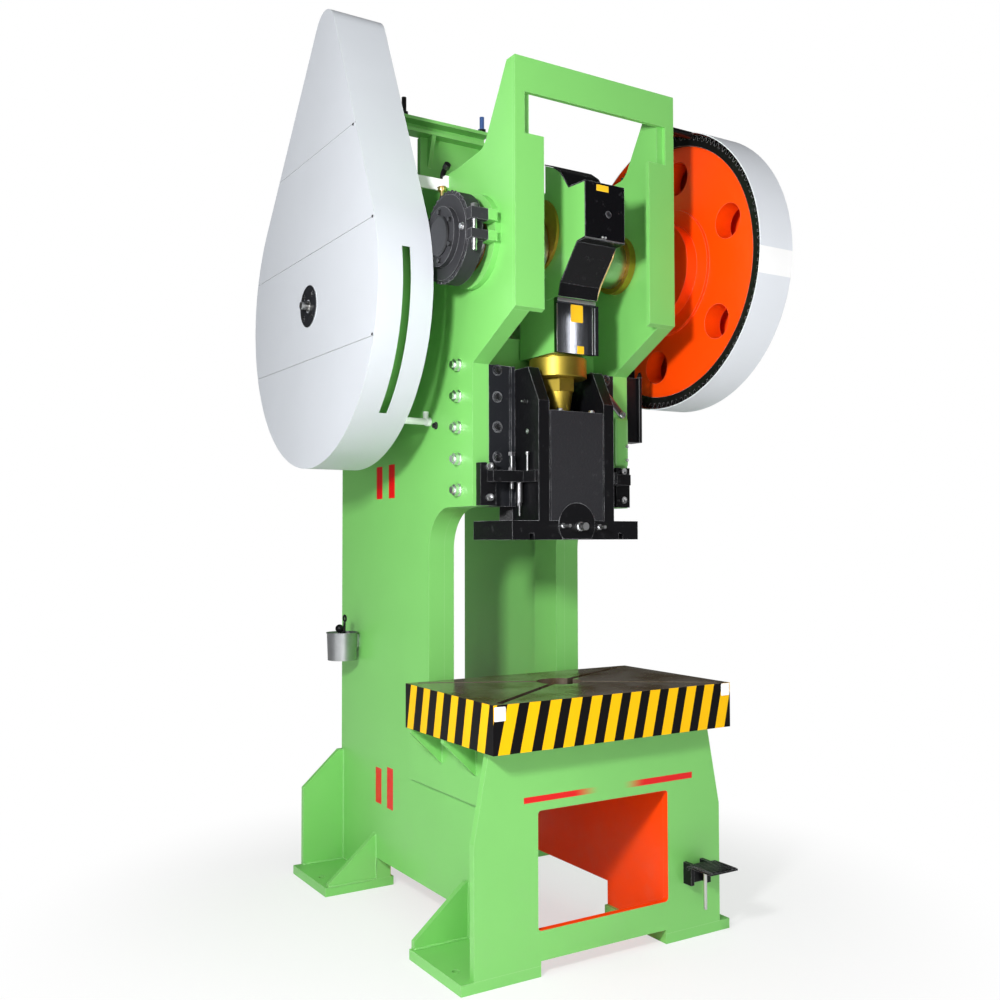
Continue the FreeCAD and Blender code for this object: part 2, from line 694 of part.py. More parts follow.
def adjusting_screw():
    """The gilded lock nut on the conrod and the ball screw with its hexagon below it."""
    y, core = S.crank_y, S.screw_core
    low, wide = S.nut_low, S.nut_round
    node("lock_nut", turned("Z", [
        (core + 0.3, low), (wide - 3.0, low), (wide, low + 3.0), (wide, 1987.0),
        (wide - 3.0, 1990.0), (68.0, 1990.0), (68.0, 1999.8), (core + 0.3, 1999.8)],
        (0.0, y, 0.0)))
    node("ball_screw", together([
        rod((0.0, y, low - 1.0), (0.0, y, 2200.0), core),
        hexagon((0.0, y, 1875.0), (0.0, y, low - 0.4), 104.0),
        cone((0.0, y, 1800.0), (0.0, y, 1875.5), 40.0, 51.0),
        rod((0.0, y, S.ball_z), (0.0, y, 1800.5), 40.0),
        ball((0.0, y, S.ball_z), S.ball)]))


def slide():
    """The slide: flanged foot, two cheeks with sloped tops, vee ribs, rear wall, ball seat."""
    low, high = S.slide_low, S.slide_high
    front, back, y = S.slide_front, S.slide_back, S.crank_y
    cheek = [(front, low), (front, 1828.0), (-433.0, high), (back, high), (back, low)]
    pieces = []
    middle = (back - 345.0) / 2
    spread = S.vee_tip - S.slide_half
    for sign in MIRROR:
        near, far = sorted((sign * 114.0, sign * S.slide_half))
        pieces.append(extruded(cheek, "YZ", near, far))
        vee = [(sign * (S.slide_half - 1.0), middle - spread - 1.0), (sign * S.vee_tip, middle),
               (sign * (S.slide_half - 1.0), middle + spread + 1.0)]
        pieces.append(extruded(vee, "XY", low, high))
    pieces.append(box(-115.0, 115.0, -282.0, back, low, 1890.0))
    pieces.append(box(-115.0, 115.0, -470.0, -281.0, low, 1760.0))
    pieces.append(box(-S.flange_half, S.flange_half, S.flange_front, S.flange_back,
                      S.flange_low, low + 0.5))
    tools = [
        ball((0.0, y, S.ball_z), S.ball + 0.3),
        cone((0.0, y, S.ball_z + 20.0), (0.0, y, 1770.0), 60.0, 66.0),
        rod((0.0, y, S.flange_low - 1.0), (0.0, y, 1450.0), S.shank_bore),
        rod((-3.0, front - 1.0, 1410.0), (-3.0, -470.0, 1410.0), S.clamp_round + 0.3)]
    for sign in MIRROR:
        tools.append(box(sign * 186.0 - 9.0, sign * 186.0 + 9.0, front - 1.0, -450.0,
                         S.flange_low - 1.0, S.flange_low + 22.0))
    node("slide_body", cut(together(pieces), tools))


def slide_fittings():
    """The front panel, the round shank clamp with its studs, and the ball retainer."""
    front, y = S.slide_front, S.crank_y
    panel = box(-109.0, 109.0, front - 1.0, -470.0, 1424.8, 1797.0)
    node("slide_panel", cut(panel, [
        rod((-3.0, front - 2.0, 1410.0), (-3.0, -469.0, 1410.0), S.clamp_round + 0.8)]))
    node("shank_clamp", common(
        rod((-3.0, front - 3.0, 1410.0), (-3.0, -470.3, 1410.0), S.clamp_round),
        box(-100.0, 100.0, front - 3.0, -470.0, S.flange_low + 2.0, 1500.0)))
    face = front - 3.0
    node("clamp_screws", [
        together([rod((-66.0, face, 1407.0), (-66.0, face - 48.0, 1407.0), 6.0),
                  hexagon((-66.0, face, 1407.0), (-66.0, face - 9.0, 1407.0), 17.0)]),
        together([rod((88.0, front, 1403.0), (88.0, front - 40.0, 1403.0), 6.0),
                  hexagon((88.0, front, 1403.0), (88.0, front - 10.0, 1403.0), 19.0)]),
        together([rod((4.0, face, 1405.0), (4.0, face - 12.0, 1405.0), 16.0),
                  rod((4.0, face - 11.0, 1405.0), (4.0, face - 42.0, 1405.0), 13.0)])])
    keep = common(rod((0.0, y, 1760.0), (0.0, y, 1780.0), 100.0),
                  box(-113.0, 113.0, -466.0, -284.0, 1760.0, 1780.0))
    node("ball_retainer", cut(keep, [cone((0.0, y, 1750.0), (0.0, y, 1790.0), 43.0, 58.0)]))


# ---------------------------------------------------------------- gears, flywheel, brake


def tooth_outline(teeth, module, thinner):
    """Corner points of a spur gear about the origin. Each flank has three points: root,
    pitch circle and tip, at 20 degrees of pressure angle."""
    pitch = module * teeth / 2
    base = pitch * math.cos(math.radians(20.0))
    radii = (pitch - 1.2 * module, pitch, pitch + 0.9 * module)

    def half_angle(radius):
        """Half the tooth's angle at a radius, by the involute function."""
        def involute(value):
            angle = math.acos(min(1.0, base / value))
            return math.tan(angle) - angle
        here = max(radius, base)
        at_pitch = math.pi / (2 * teeth) - thinner / (2 * pitch)
        return at_pitch + involute(pitch) - involute(here)

    halves = [half_angle(radius) for radius in radii]
    points = []
    for k in range(int(teeth)):
        centre = 2 * math.pi * k / teeth
        for radius, half in zip(radii, halves):
            points.append((radius, centre - half))
        for radius, half in zip(reversed(radii), reversed(halves)):
            points.append((radius, centre + half))
    return points


def toothed(teeth, turn, low, high):
    """A toothed prism along X whose tooth number 0 stands at the angle turn from +Y. No
    sketch or primitive draws involute flanks, so the outline is worked out here."""
    corners = [VEC(0, float(radius) * math.cos(angle + turn),
                   float(radius) * math.sin(angle + turn))
               for radius, angle in tooth_outline(teeth, S.module_size, 0.6)]
    face = Part.Face(Part.makePolygon(corners + corners[:1]))
    item = doc.addObject("Part::Feature", "teeth")
    item.Shape = face.extrude(VEC(high - low, 0, 0))
    return item


def gears():
    """The toothed rim, the holed web and hub of the big gear, and the pinion in mesh."""
    crank, back = (S.crank_y, S.crank_z), (S.back_y, S.back_z)
    towards = math.atan2(back[1] - crank[1], back[0] - crank[0])
    left, right = S.gear_left, S.gear_left + S.gear_wide
    end = S.gear_guard_right - 14.0
    rim = toothed(S.gear_teeth, towards, left, right)
    place(rim, (left,) + crank)
    node("gear_rim", cut(rim, [rod((left - 1.0,) + crank, (right + 1.0,) + crank, S.rim_bore)]))
    web = together([
        rod((left + 14.0,) + crank, (right - 22.0,) + crank, S.rim_bore),
        rod((left + 2.0,) + crank, (right - 10.0,) + crank, 235.0),
        rod((left - 44.0,) + crank, (end,) + crank, S.gear_hub)])
    holes = [rod((left - 50.0,) + crank, (end + 1.0,) + crank, 75.0)]
    for k in range(6):
        angle = math.radians(160.0 + 60.0 * k)
        at = (crank[0] + S.hole_ring * math.cos(angle), crank[1] + S.hole_ring * math.sin(angle))
        holes.append(rod((left - 1.0,) + at, (right + 1.0,) + at, S.web_hole))
    node("gear_web", cut(web, holes))
    face = towards + math.pi + math.pi / S.pinion_teeth
    pinion = toothed(S.pinion_teeth, face, left - 4.0, right + 4.0)
    place(pinion, (left - 4.0,) + back)
    node("pinion", cut(pinion, [rod((left - 5.0,) + back, (right + 5.0,) + back, S.shaft)]))


def back_shaft():
    """The back shaft, the flywheel that runs on it, the clutch on its end and the air union."""
    at = (0.0, S.back_y, S.back_z)
    end = S.gear_left + S.gear_wide + 8.0
    node("back_shaft", turned("X", [
        (-640.0, 0.0), (-640.0, 45.0), (-392.0, 45.0), (-392.0, S.shaft), (end, S.shaft),
        (end, 0.0)], at))
    bore = 70.0
    node("flywheel", turned("X", [
        (-640.0, 430.0), (-640.0, S.flywheel), (-500.0, S.flywheel), (-500.0, 430.0),
        (-520.0, 410.0), (-556.0, 170.0), (-556.0, 120.0), (-500.0, 110.0), (-500.0, bore),
        (-600.0, bore), (-600.0, 180.0), (-590.0, 410.0)], at))
    node("flywheel_bearings", [
        turned("X", [(x, 45.06), (x, 69.7), (x + 34.0, 69.7), (x + 34.0, 45.06)], at)
        for x in (-598.0, -536.0)])
    node("clutch_drum", turned("X", [
        (-668.0, 0.0), (-668.0, 44.0), (-655.0, 44.0), (-655.0, 120.0), (-604.0, 150.0),
        (-604.0, 100.0), (-620.0, 60.0), (-620.0, 45.0), (-640.0, 45.0), (-640.0, 0.0)], at))
    node("air_union", turned("X", [
        (-712.0, 0.0), (-712.0, 14.0), (-684.0, 14.0), (-684.0, 20.0), (-668.0, 20.0),
        (-668.0, 0.0)], at))


def brake():
    """The band brake on the crankshaft's left end: drum, lined band, lugs and anchors."""
    crank = (S.crank_y, S.crank_z)
    drum = S.brake_drum
    node("brake_drum", turned("X", [
        (-472.0, 60.0), (-472.0, 98.0), (-452.0, 98.0), (-452.0, drum), (-389.0, drum),
        (-389.0, drum - 13.0), (-438.0, drum - 17.0), (-438.0, 88.0), (-389.0, 82.0),
        (-389.0, 60.0)], (0.0,) + crank))
    band = together([
        rod((-446.0,) + crank, (-392.0,) + crank, drum + 11.0),
        box(-448.0, -385.5, -553.0, -510.0, 2383.0, 2421.0),
        box(-448.0, -385.5, -553.0, -510.0, 2321.0, 2351.0)])
    bolt_x, bolt_y = -430.0, -541.0
    node("brake_band", cut(band, [
        rod((-450.0,) + crank, (-384.0,) + crank, drum + 0.5),
        box(-450.0, -384.0, -560.0, -480.0, 2351.5, 2382.5),
        rod((bolt_x, bolt_y, 2300.0), (bolt_x, bolt_y, 2450.0), 8.3)]))
    node("brake_bolt", together([
        rod((bolt_x, bolt_y, 2284.0), (bolt_x, bolt_y, 2434.0), 8.0),
        rod((bolt_x, bolt_y, 2308.0), (bolt_x, bolt_y, 2320.7), 9.5),
        hexagon((bolt_x, bolt_y, 2421.3), (bolt_x, bolt_y, 2432.0), 22.0)]))
    face = -S.side_out - S.boss_thick
    node("brake_anchors", [
        box(-385.2, face, -556.0, -508.0, 2386.0, 2421.0),
        box(-385.2, face, -556.0, -508.0, 2320.0, 2352.0)])


# ---------------------------------------------------------------- guards


def belt_guard():
    """The teardrop belt guard: a slotted band and four face panels with level joints."""
    sheet_t = S.guard_sheet
    big = (S.back_y, S.back_z, S.guard_big)
    top = (S.guard_top_y, S.guard_top_z, S.guard_top)

    def shrink(by):
        return hull_outline((big[0], big[1], big[2] - by), (top[0], top[1], top[2] - by))

    band = extruded(shrink(0.0), "YZ", S.guard_out + sheet_t, S.guard_in)
    node("belt_guard_band", cut(band, [
        extruded(shrink(sheet_t), "YZ", S.guard_out, S.guard_in + 1.0),
        box(-592.0, -562.0, -420.0, -60.0, 1790.0, 2320.0)]))
    back = (S.back_y, S.back_z)
    outline = shrink(0.0) + [circle(S.back_y, S.back_z, 34.0)]
    levels = (1600.0, 2022.0, 2411.0, 2770.0, 3300.0)
    panels = [
        common(extruded(outline, "YZ", S.guard_out, S.guard_out + sheet_t),
               box(S.guard_out - 1.0, S.guard_out + sheet_t + 1.0, -500.0, 1000.0,
                   levels[k] + 0.8, levels[k + 1] - 0.8)) for k in range(4)]
    hub = rod((S.guard_out - 1.5,) + back, (S.guard_out,) + back, 80.0)
    panels.append(cut(hub, [rod((-690.0,) + back, (-670.0,) + back, 21.0)]))
    node("guard_panels", panels)
    upper = together([
        box(S.guard_in, -338.0, -150.0, -142.0, 2600.0, 2642.0),
        box(-344.0, -S.side_out, -190.0, -142.0, 2600.0, 2642.0)])
    lower = together([
        rod((S.guard_in, -46.0, 1786.0), (-345.0, -46.0, 1786.0), 12.0),
        rod((-345.0, -46.0, 1780.0), (-345.0, -46.0, 1822.0), 10.0),
        rod((-345.0, -46.0, 1786.0), (-S.side_out, -46.0, 1786.0), 16.0)])
    rear = rod((S.guard_in, 690.0, 2600.0), (-S.side_out, 690.0, 2600.0), 12.0)
    return [upper, lower, rear]


def gear_guard():
    """The cylindrical gear guard, open towards the frame, drawn out round the pinion."""
    sheet_t = S.guard_sheet
    big = (S.crank_y, S.crank_z, S.gear_guard_out)
    small = (S.back_y, S.back_z, 175.0)

    def shrink(by):
        return hull_outline((big[0], big[1], big[2] - by), (small[0], small[1], small[2] - by))

    shell = extruded(shrink(0.0), "YZ", S.gear_guard_left, S.gear_guard_right)
    node("gear_guard", cut(shell, [
        extruded(shrink(sheet_t), "YZ", S.gear_guard_left - 1.0,
                 S.gear_guard_right - sheet_t)]))
    bars = []
    for degrees in (110.0, 290.0):
        angle = math.radians(degrees)
        y = S.crank_y + (S.gear_guard_out - 14.0) * math.cos(angle)
        z = S.crank_z + (S.gear_guard_out - 14.0) * math.sin(angle)
        bars.append(rod((S.side_out, y, z), (S.gear_guard_left, y, z), 13.0))
    bars.append(rod((S.side_out, 401.0, 2220.0), (S.gear_guard_left, 401.0, 2220.0), 13.0))
    return bars


def guards():
    """Both guards and the round bars that carry them on the side plates."""
    node("guard_bars", belt_guard() + gear_guard())


# ---------------------------------------------------------------- small items


def pot():
    """The tin that hangs on the left side plate with a few hand tools in it."""
    x, y = -397.0, 582.0
    outside = together([
        cone((x, y, 875.0), (x, y, 986.0), 58.0, 62.0),
        rod((x, y, 983.0), (x, y, 986.0), 65.0),
        box(-345.0, -S.side_out, 567.0, 597.0, 925.0, 975.0)])
    node("tool_pot", cut(outside, [cone((x, y, 877.0), (x, y, 989.0), 56.0, 60.0)]))
    node("pot_tools", [
        together([rod((-392.0, 600.0, 878.0), (-404.0, 594.0, 990.0), 7.0),
                  ball((-404.0, 594.0, 1000.0), 17.0)]),
        together([rod((-400.0, 562.0, 878.0), (-402.0, 548.0, 1030.0), 5.0),
                  ring((-402.0, 547.0, 1044.0), (1, 0, 0), 12.0, 4.0)])])


def pedal():
    """The foot pedal on the right leg: bracket, hinge pin, treaded pad and trip rod."""
    face = S.front_face
    pin_y = face - 26.0
    bracket = together([
        box(330.0, 344.0, face - 40.0, face, 190.0, 262.0),
        box(404.0, 418.0, face - 40.0, face, 190.0, 262.0),
        box(330.0, 418.0, face - 14.0, face, 190.0, 234.0)])
    node("pedal_bracket", [
        cut(bracket, [rod((320.0, pin_y, 246.0), (430.0, pin_y, 246.0), 6.0)]),
        rod((326.0, pin_y, 246.0), (422.0, pin_y, 246.0), 6.0)])
    tread = [box(x, x + 4.0, face - 150.0, face - 46.0, 261.0, 263.0)
             for x in (322.0, 340.0, 358.0, 376.0, 394.0, 412.0, 430.0)]
    pad = together([
        box(316.0, 436.0, face - 152.0, face - 44.0, 255.0, 261.2),
        box(346.0, 402.0, face - 70.0, face - 28.0, 244.0, 256.0),
        rod((346.0, pin_y, 246.0), (402.0, pin_y, 246.0), 11.0)] + tread)
    node("pedal_pad", cut(pad, [rod((320.0, pin_y, 246.0), (430.0, pin_y, 246.0), 6.06)]))
    node("pedal_rod", rod((338.0, face - 100.0, 130.0), (338.0, face - 100.0, 255.0), 6.0))


# ---------------------------------------------------------------- build and write

for build in (side_plates, doublers, crown_frame, base_front, cross_plates, feet, bed_supports,
              motor_stand, bolster, gibs, knockout, oiler, bearings, crankshaft,
              eccentric_bush, conrod, hood, adjusting_screw, slide, slide_fittings, gears,
              back_shaft, brake, guards, pot, pedal):
    build()
doc.recompute()

failed = [item.Label for item in doc.Objects
          if "Invalid" in item.State or "Error" in item.State]
if failed:
    raise RuntimeError("failed features: " + ", ".join(failed))
os.makedirs("parts", exist_ok=True)
for item in NODES:
    shape = item.Shape
    if shape.isNull() or not shape.isValid() or not shape.Solids:
        raise RuntimeError("bad shape: " + item.Label)
for item in NODES:
    item.Shape.exportStep("parts/%s.step" % item.Label)
print(len(NODES), "sub-parts written")
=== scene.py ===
"""Looks of the geared power press: enamels, steels, hazard paint and small fittings."""

import logging
import math
from dataclasses import dataclass, field
from enum import Enum
from typing import ClassVar, Sequence, Union

import bpy
import numpy as np
from mathutils import Matrix, Vector


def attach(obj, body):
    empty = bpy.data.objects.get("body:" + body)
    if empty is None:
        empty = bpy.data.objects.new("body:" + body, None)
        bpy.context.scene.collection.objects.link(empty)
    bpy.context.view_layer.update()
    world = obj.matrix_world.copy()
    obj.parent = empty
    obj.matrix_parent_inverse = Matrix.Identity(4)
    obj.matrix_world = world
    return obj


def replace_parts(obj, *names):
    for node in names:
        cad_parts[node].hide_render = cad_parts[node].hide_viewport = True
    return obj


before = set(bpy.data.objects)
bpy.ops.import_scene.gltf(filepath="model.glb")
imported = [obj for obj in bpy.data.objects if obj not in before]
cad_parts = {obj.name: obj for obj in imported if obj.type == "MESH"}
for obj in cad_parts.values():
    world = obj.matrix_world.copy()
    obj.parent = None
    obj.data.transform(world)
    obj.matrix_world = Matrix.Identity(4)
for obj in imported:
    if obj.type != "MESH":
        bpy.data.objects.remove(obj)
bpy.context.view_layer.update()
log = logging.getLogger("press")

Colour = tuple[float, float, float]
Point = tuple[float, float, float]
Profile = tuple[tuple[float, float, int], ...]
Array = np.ndarray
Socket = bpy.types.NodeSocket
Value = Union[Socket, float, Colour]

LEFT: Point = (-1.0, 0.0, 0.0)
RIGHT: Point = (1.0, 0.0, 0.0)
FRONT: Point = (0.0, -1.0, 0.0)
UP: Point = (0.0, 0.0, 1.0)
DOWN: Point = (0.0, 0.0, -1.0)
POLE = 1e-5  # radius in metres of the ring that closes an end


def srgb(red: int, green: int, blue: int) -> Colour:
    """Turns 0-255 sRGB values into the linear colour that the shader takes.

    Args:
        red: the red level.
        green: the green level.
        blue: the blue level.

    Returns:
        The linear colour.
    """
    values = []
    for level in (red, green, blue):
        part = level / 255.0
        values.append(part / 12.92 if part <= 0.04045 else ((part + 0.055) / 1.055) ** 2.4)
    return (values[0], values[1], values[2])


GREEN = srgb(122, 196, 102)
ORANGE = srgb(255, 72, 0)
GREY = srgb(199, 203, 209)
# a lighter copy of the guard grey for the gear guard, painting more light onto it
LIT_GEAR_GUARD_GREY = srgb(224, 228, 234)
WHITE = srgb(240, 242, 242)
YELLOW = srgb(240, 184, 4)
INK = srgb(10, 8, 10)
RED = srgb(218, 0, 0)
PAPER = srgb(250, 250, 250)
LABEL_YELLOW = srgb(244, 190, 20)
STUD_BLUE = srgb(58, 92, 150)


class Body(Enum):
    """The bodies that new pieces ride on."""

    FRAME = "frame"
    CRANK = "crank"
    CONROD = "conrod"
    SLIDE = "slide"
    PEDAL = "pedal"


class Slot(Enum):
    """The record's material slots, one given to each new piece's build; the finish itself comes
    from the palette.
    """

    GREEN = "frame_green"
    BLACK = "black_finish"
    STEEL = "machined_steel"
    BRONZE = "bronze"
    WHITE = "white_paint"


# ------------------------------------------------------------------ finishes


class Nodes:
    """A short way to write a material's node tree."""

    def __init__(self, name: str) -> None:
        """Starts a material of that name with its shader and output.

        Args:
            name: the material's name.
        """
        self.material = bpy.data.materials.new(name)
        self.material.use_nodes = True
        self.tree = self.material.node_tree
        self.tree.nodes.clear()
        self.shader = self.tree.nodes.new("ShaderNodeBsdfPrincipled")
        self.out = self.tree.nodes.new("ShaderNodeOutputMaterial")
        self.tree.links.new(self.shader.outputs[0], self.out.inputs[0])
        coordinates = self.tree.nodes.new("ShaderNodeTexCoord")
        self.position = coordinates.outputs["Object"]

    def link(self, source: Value, target: Socket) -> None:
        """Links an output to an input, or sets the input to a plain value.

        Args:
            source: a node's output, a number or a colour.
            target: the input that takes it.
        """
        if isinstance(source, (int, float)):
            target.default_value = source
        elif isinstance(source, tuple):
            target.default_value = (*source, 1.0) if len(source) == 3 else source
        else:
            self.tree.links.new(source, target)

    def math(self, operation: str, first: Value, second: Value = 0.0) -> Socket:
        """Adds one Math node.

        Args:
            operation: the node's operation.
            first: its first value.
            second: its second value.

        Returns:
            The node's output.
        """
        node = self.tree.nodes.new("ShaderNodeMath")
        node.operation = operation
        self.link(first, node.inputs[0])
        self.link(second, node.inputs[1])
        return node.outputs[0]

    def axes(self) -> tuple[Socket, Socket, Socket]:
        """Splits the object position.

        Returns:
            The x, y and z outputs.
        """
        node = self.tree.nodes.new("ShaderNodeSeparateXYZ")
        self.tree.links.new(self.position, node.inputs[0])
        return node.outputs[0], node.outputs[1], node.outputs[2]

    def within(self, low: Point, high: Point) -> Value:
        """Masks a box of the object's space.

        Args:
            low: the box's lowest corner.
            high: its highest corner.

        Returns:
            1 inside the box and 0 outside.
        """
        mask: Value = 1.0
        for value, start, stop in zip(self.axes(), low, high):
            mask = self.math("MULTIPLY", mask, self.math("GREATER_THAN", value, start))
            mask = self.math("MULTIPLY", mask, self.math("LESS_THAN", value, stop))
        return mask

    def noise(self, scale: float, detail: float, rough: float = 0.5,
              vector: Socket | None = None) -> Socket:
        """Adds one noise texture.

        Args:
            scale: waves to a metre.
            detail: octaves.
            rough: the weight of the finer octaves.
            vector: where it is read, or None for the object's position.

        Returns:
            The texture's value output.
        """
        node = self.tree.nodes.new("ShaderNodeTexNoise")
        node.inputs["Scale"].default_value = scale
        node.inputs["Detail"].default_value = detail
        node.inputs["Roughness"].default_value = rough
        self.tree.links.new(vector or self.position, node.inputs["Vector"])
        return node.outputs["Fac"]

    def stretched(self, scale: Point) -> Socket:
        """Scales the object position unevenly, for grain that runs one way.

        Args:
            scale: the factor along each axis.

        Returns:
            The scaled position.
        """
        node = self.tree.nodes.new("ShaderNodeMapping")
        node.inputs["Scale"].default_value = scale
        self.tree.links.new(self.position, node.inputs["Vector"])
        return node.outputs[0]

    def ramp(self, value: Value, low: float, high: float) -> Socket:
        """Maps low..high to 0..1, clamped and smoothed.

        Args:
            value: what is mapped.
            low: the value that gives 0.
            high: the value that gives 1.

        Returns:
            The mapped value.
        """
        node = self.tree.nodes.new("ShaderNodeMapRange")
        node.interpolation_type = "SMOOTHSTEP"
        self.link(value, node.inputs["Value"])
        node.inputs["From Min"].default_value = low
        node.inputs["From Max"].default_value = high
        return node.outputs["Result"]

    def mix(self, factor: Value, first: Value, second: Value) -> Socket:
        """Blends two colours.

        Args:
            factor: the share of the second colour.
            first: the first colour.
            second: the second colour.

        Returns:
            The blended colour.
        """
        node = self.tree.nodes.new("ShaderNodeMix")
        node.data_type = "RGBA"
        self.link(factor, node.inputs[0])
        self.link(first, node.inputs[6])
        self.link(second, node.inputs[7])
        return node.outputs[2]

    def bump(self, height: Socket, distance: float, strength: float) -> None:
        """Gives the shader a bump.

        Args:
            height: the height's output.
            distance: the height of a full step, in metres.
            strength: how much of it shows.
        """
        node = self.tree.nodes.new("ShaderNodeBump")
        node.inputs["Strength"].default_value = strength
        node.inputs["Distance"].default_value = distance
        self.link(height, node.inputs["Height"])
        self.tree.links.new(node.outputs[0], self.shader.inputs["Normal"])

    def dot(self, first: Socket, second: Socket) -> Socket:
        """Adds a dot product.

        Args:
            first: the first vector.
            second: the second vector.

        Returns:
            The product.
        """
        node = self.tree.nodes.new("ShaderNodeVectorMath")
        node.operation = "DOT_PRODUCT"
        self.tree.links.new(first, node.inputs[0])
        self.tree.links.new(second, node.inputs[1])
        return node.outputs["Value"]

    def corners(self, reach: float) -> Socket:
        """Masks edges, where the bevelled normal leaves the true one.

        Args:
            reach: how far from the edge it looks, in metres.

        Returns:
            1 on sharp edges and 0 on flat faces.
        """
        bevel = self.tree.nodes.new("ShaderNodeBevel")
        bevel.samples = 4
        bevel.inputs["Radius"].default_value = reach
        geometry = self.tree.nodes.new("ShaderNodeNewGeometry")
        return self.ramp(self.dot(bevel.outputs[0], geometry.outputs["Normal"]), 0.995, 0.90)

    def outward(self, centre: Point) -> Socket:
        """Masks the faces that look away from a point.

        Args:
            centre: the point.

        Returns:
            1 on those faces and 0 on the others.
        """
        geometry = self.tree.nodes.new("ShaderNodeNewGeometry")
        away = self.tree.nodes.new("ShaderNodeVectorMath")
        away.operation = "SUBTRACT"
        self.tree.links.new(self.position, away.inputs[0])
        away.inputs[1].default_value = centre
        facing = self.dot(away.outputs[0], geometry.outputs["True Normal"])
        return self.math("GREATER_THAN", facing, 0.0)


@dataclass(frozen=True)
class Mottle:
    """Noise cut to a mask that is 0 where the noise is under low and 1 where it is over high."""

    scale: float
    detail: float
    rough: float
    low: float
    high: float

    def mask(self, n: Nodes) -> Socket:
        """The mask's output."""
        return n.ramp(n.noise(self.scale, self.detail, self.rough), self.low, self.high)


@dataclass(frozen=True)
class Patch:
    """A painted box of another colour; fade is the length over which it thins out in x."""

    colour: Colour
    low: Point
    high: Point
    fade: float = 0.0

    def lay(self, n: Nodes, below: Value) -> Socket:
        """Paints the patch over the colour below.

        Args:
            n: the material's nodes.
            below: the colour below.

        Returns:
            The new colour.
        """
        mask = n.within(self.low, self.high)
        if self.fade:
            x = n.axes()[0]
            start = self.high[0] if self.fade > 0 else self.low[0]
            mask = n.math("MULTIPLY", mask, n.ramp(x, start, start - self.fade))
        return n.mix(mask, below, self.colour)


@dataclass(frozen=True)
class Enamel:
    """Sprayed enamel: faint shade changes, dust low down, fine orange peel, and pale edges that
    are a painted highlight.
    """

    name: str
    colour: Colour
    gloss: float = 0.30
    peel: float = 0.00022
    dust: float = 0.10
    patches: tuple[Patch, ...] = ()
    turned_in: Colour | None = None
    centre: Point = (0.0, 0.0, 0.0)
    cloud: ClassVar[Mottle] = Mottle(1.6, 3.0, 0.5, 0.35, 0.7)
    speck: ClassVar[Mottle] = Mottle(60.0, 6.0, 0.7, 0.66, 0.74)
    grime: ClassVar[Mottle] = Mottle(7.0, 5.0, 0.65, 0.45, 0.75)
    grime_top: ClassVar[float] = 0.55
    dust_colour: ClassVar[Colour] = (0.30, 0.29, 0.25)
    # pale colour laid on the edges: a painted highlight
    edge_highlight_colour: ClassVar[Colour] = (0.80, 0.86, 0.76)
    edge_highlight_reach: ClassVar[float] = 0.0018
    edge_highlight_share: ClassVar[float] = 0.22

    def make(self) -> bpy.types.Material:
        """Builds the material.

        Returns:
            The enamel.
        """
        n = Nodes(self.name)
        base: Value = self.colour
        if self.turned_in:
            base = n.mix(n.outward(self.centre), self.turned_in, self.colour)
        for patch in self.patches:
            base = patch.lay(n, base)
        cloud = self.cloud.mask(n)
        shade = n.tree.nodes.new("ShaderNodeHueSaturation")
        n.link(n.math("SUBTRACT", 1.0, n.math("MULTIPLY", cloud, 0.05)), shade.inputs["Value"])
        n.link(base, shade.inputs["Color"])
        speck = self.speck.mask(n)
        low = n.ramp(n.axes()[2], self.grime_top, 0.0)
        grime = n.math("MULTIPLY", self.grime.mask(n), low)
        dusty = n.mix(n.math("MULTIPLY", n.math("ADD", speck, grime), self.dust),
                      shade.outputs[0], self.dust_colour)
        # painted highlight along the edges
        edges = n.math("MULTIPLY", n.corners(self.edge_highlight_reach), self.edge_highlight_share)
        n.link(n.mix(edges, dusty, self.edge_highlight_colour), n.shader.inputs["Base Color"])
        n.link(n.math("ADD", self.gloss, n.math("MULTIPLY", cloud, 0.08)),
               n.shader.inputs["Roughness"])
        n.bump(n.noise(220.0, 1.0), self.peel, 0.5)
        return n.material


@dataclass(frozen=True)
class Metal:
    """Bare or passivated metal with machining lines and a little oil."""

    name: str
    colour: Colour
    rough: float
    lines: Point = (1.0, 1.0, 1.0)
    oil: float = 0.3
    vary: float = 0.12
    stain: ClassVar[Mottle] = Mottle(9.0, 4.0, 0.6, 0.42, 0.72)
    oiled: ClassVar[float] = 0.45

    def make(self) -> bpy.types.Material:
        """Builds the material.

        Returns:
            The metal.
        """
        n = Nodes(self.name)
        grain = n.noise(180.0, 2.0, 0.6, n.stretched(self.lines))
        stain = self.stain.mask(n)
        dark = tuple(c * self.oiled for c in self.colour)
        n.link(n.mix(n.math("MULTIPLY", stain, self.oil), self.colour, dark),
               n.shader.inputs["Base Color"])
        n.shader.inputs["Metallic"].default_value = 1.0
        n.link(n.math("ADD", self.rough, n.math("MULTIPLY", grain, self.vary)),
               n.shader.inputs["Roughness"])
        n.bump(grain, 0.001 * self.vary, 0.35)
        return n.material


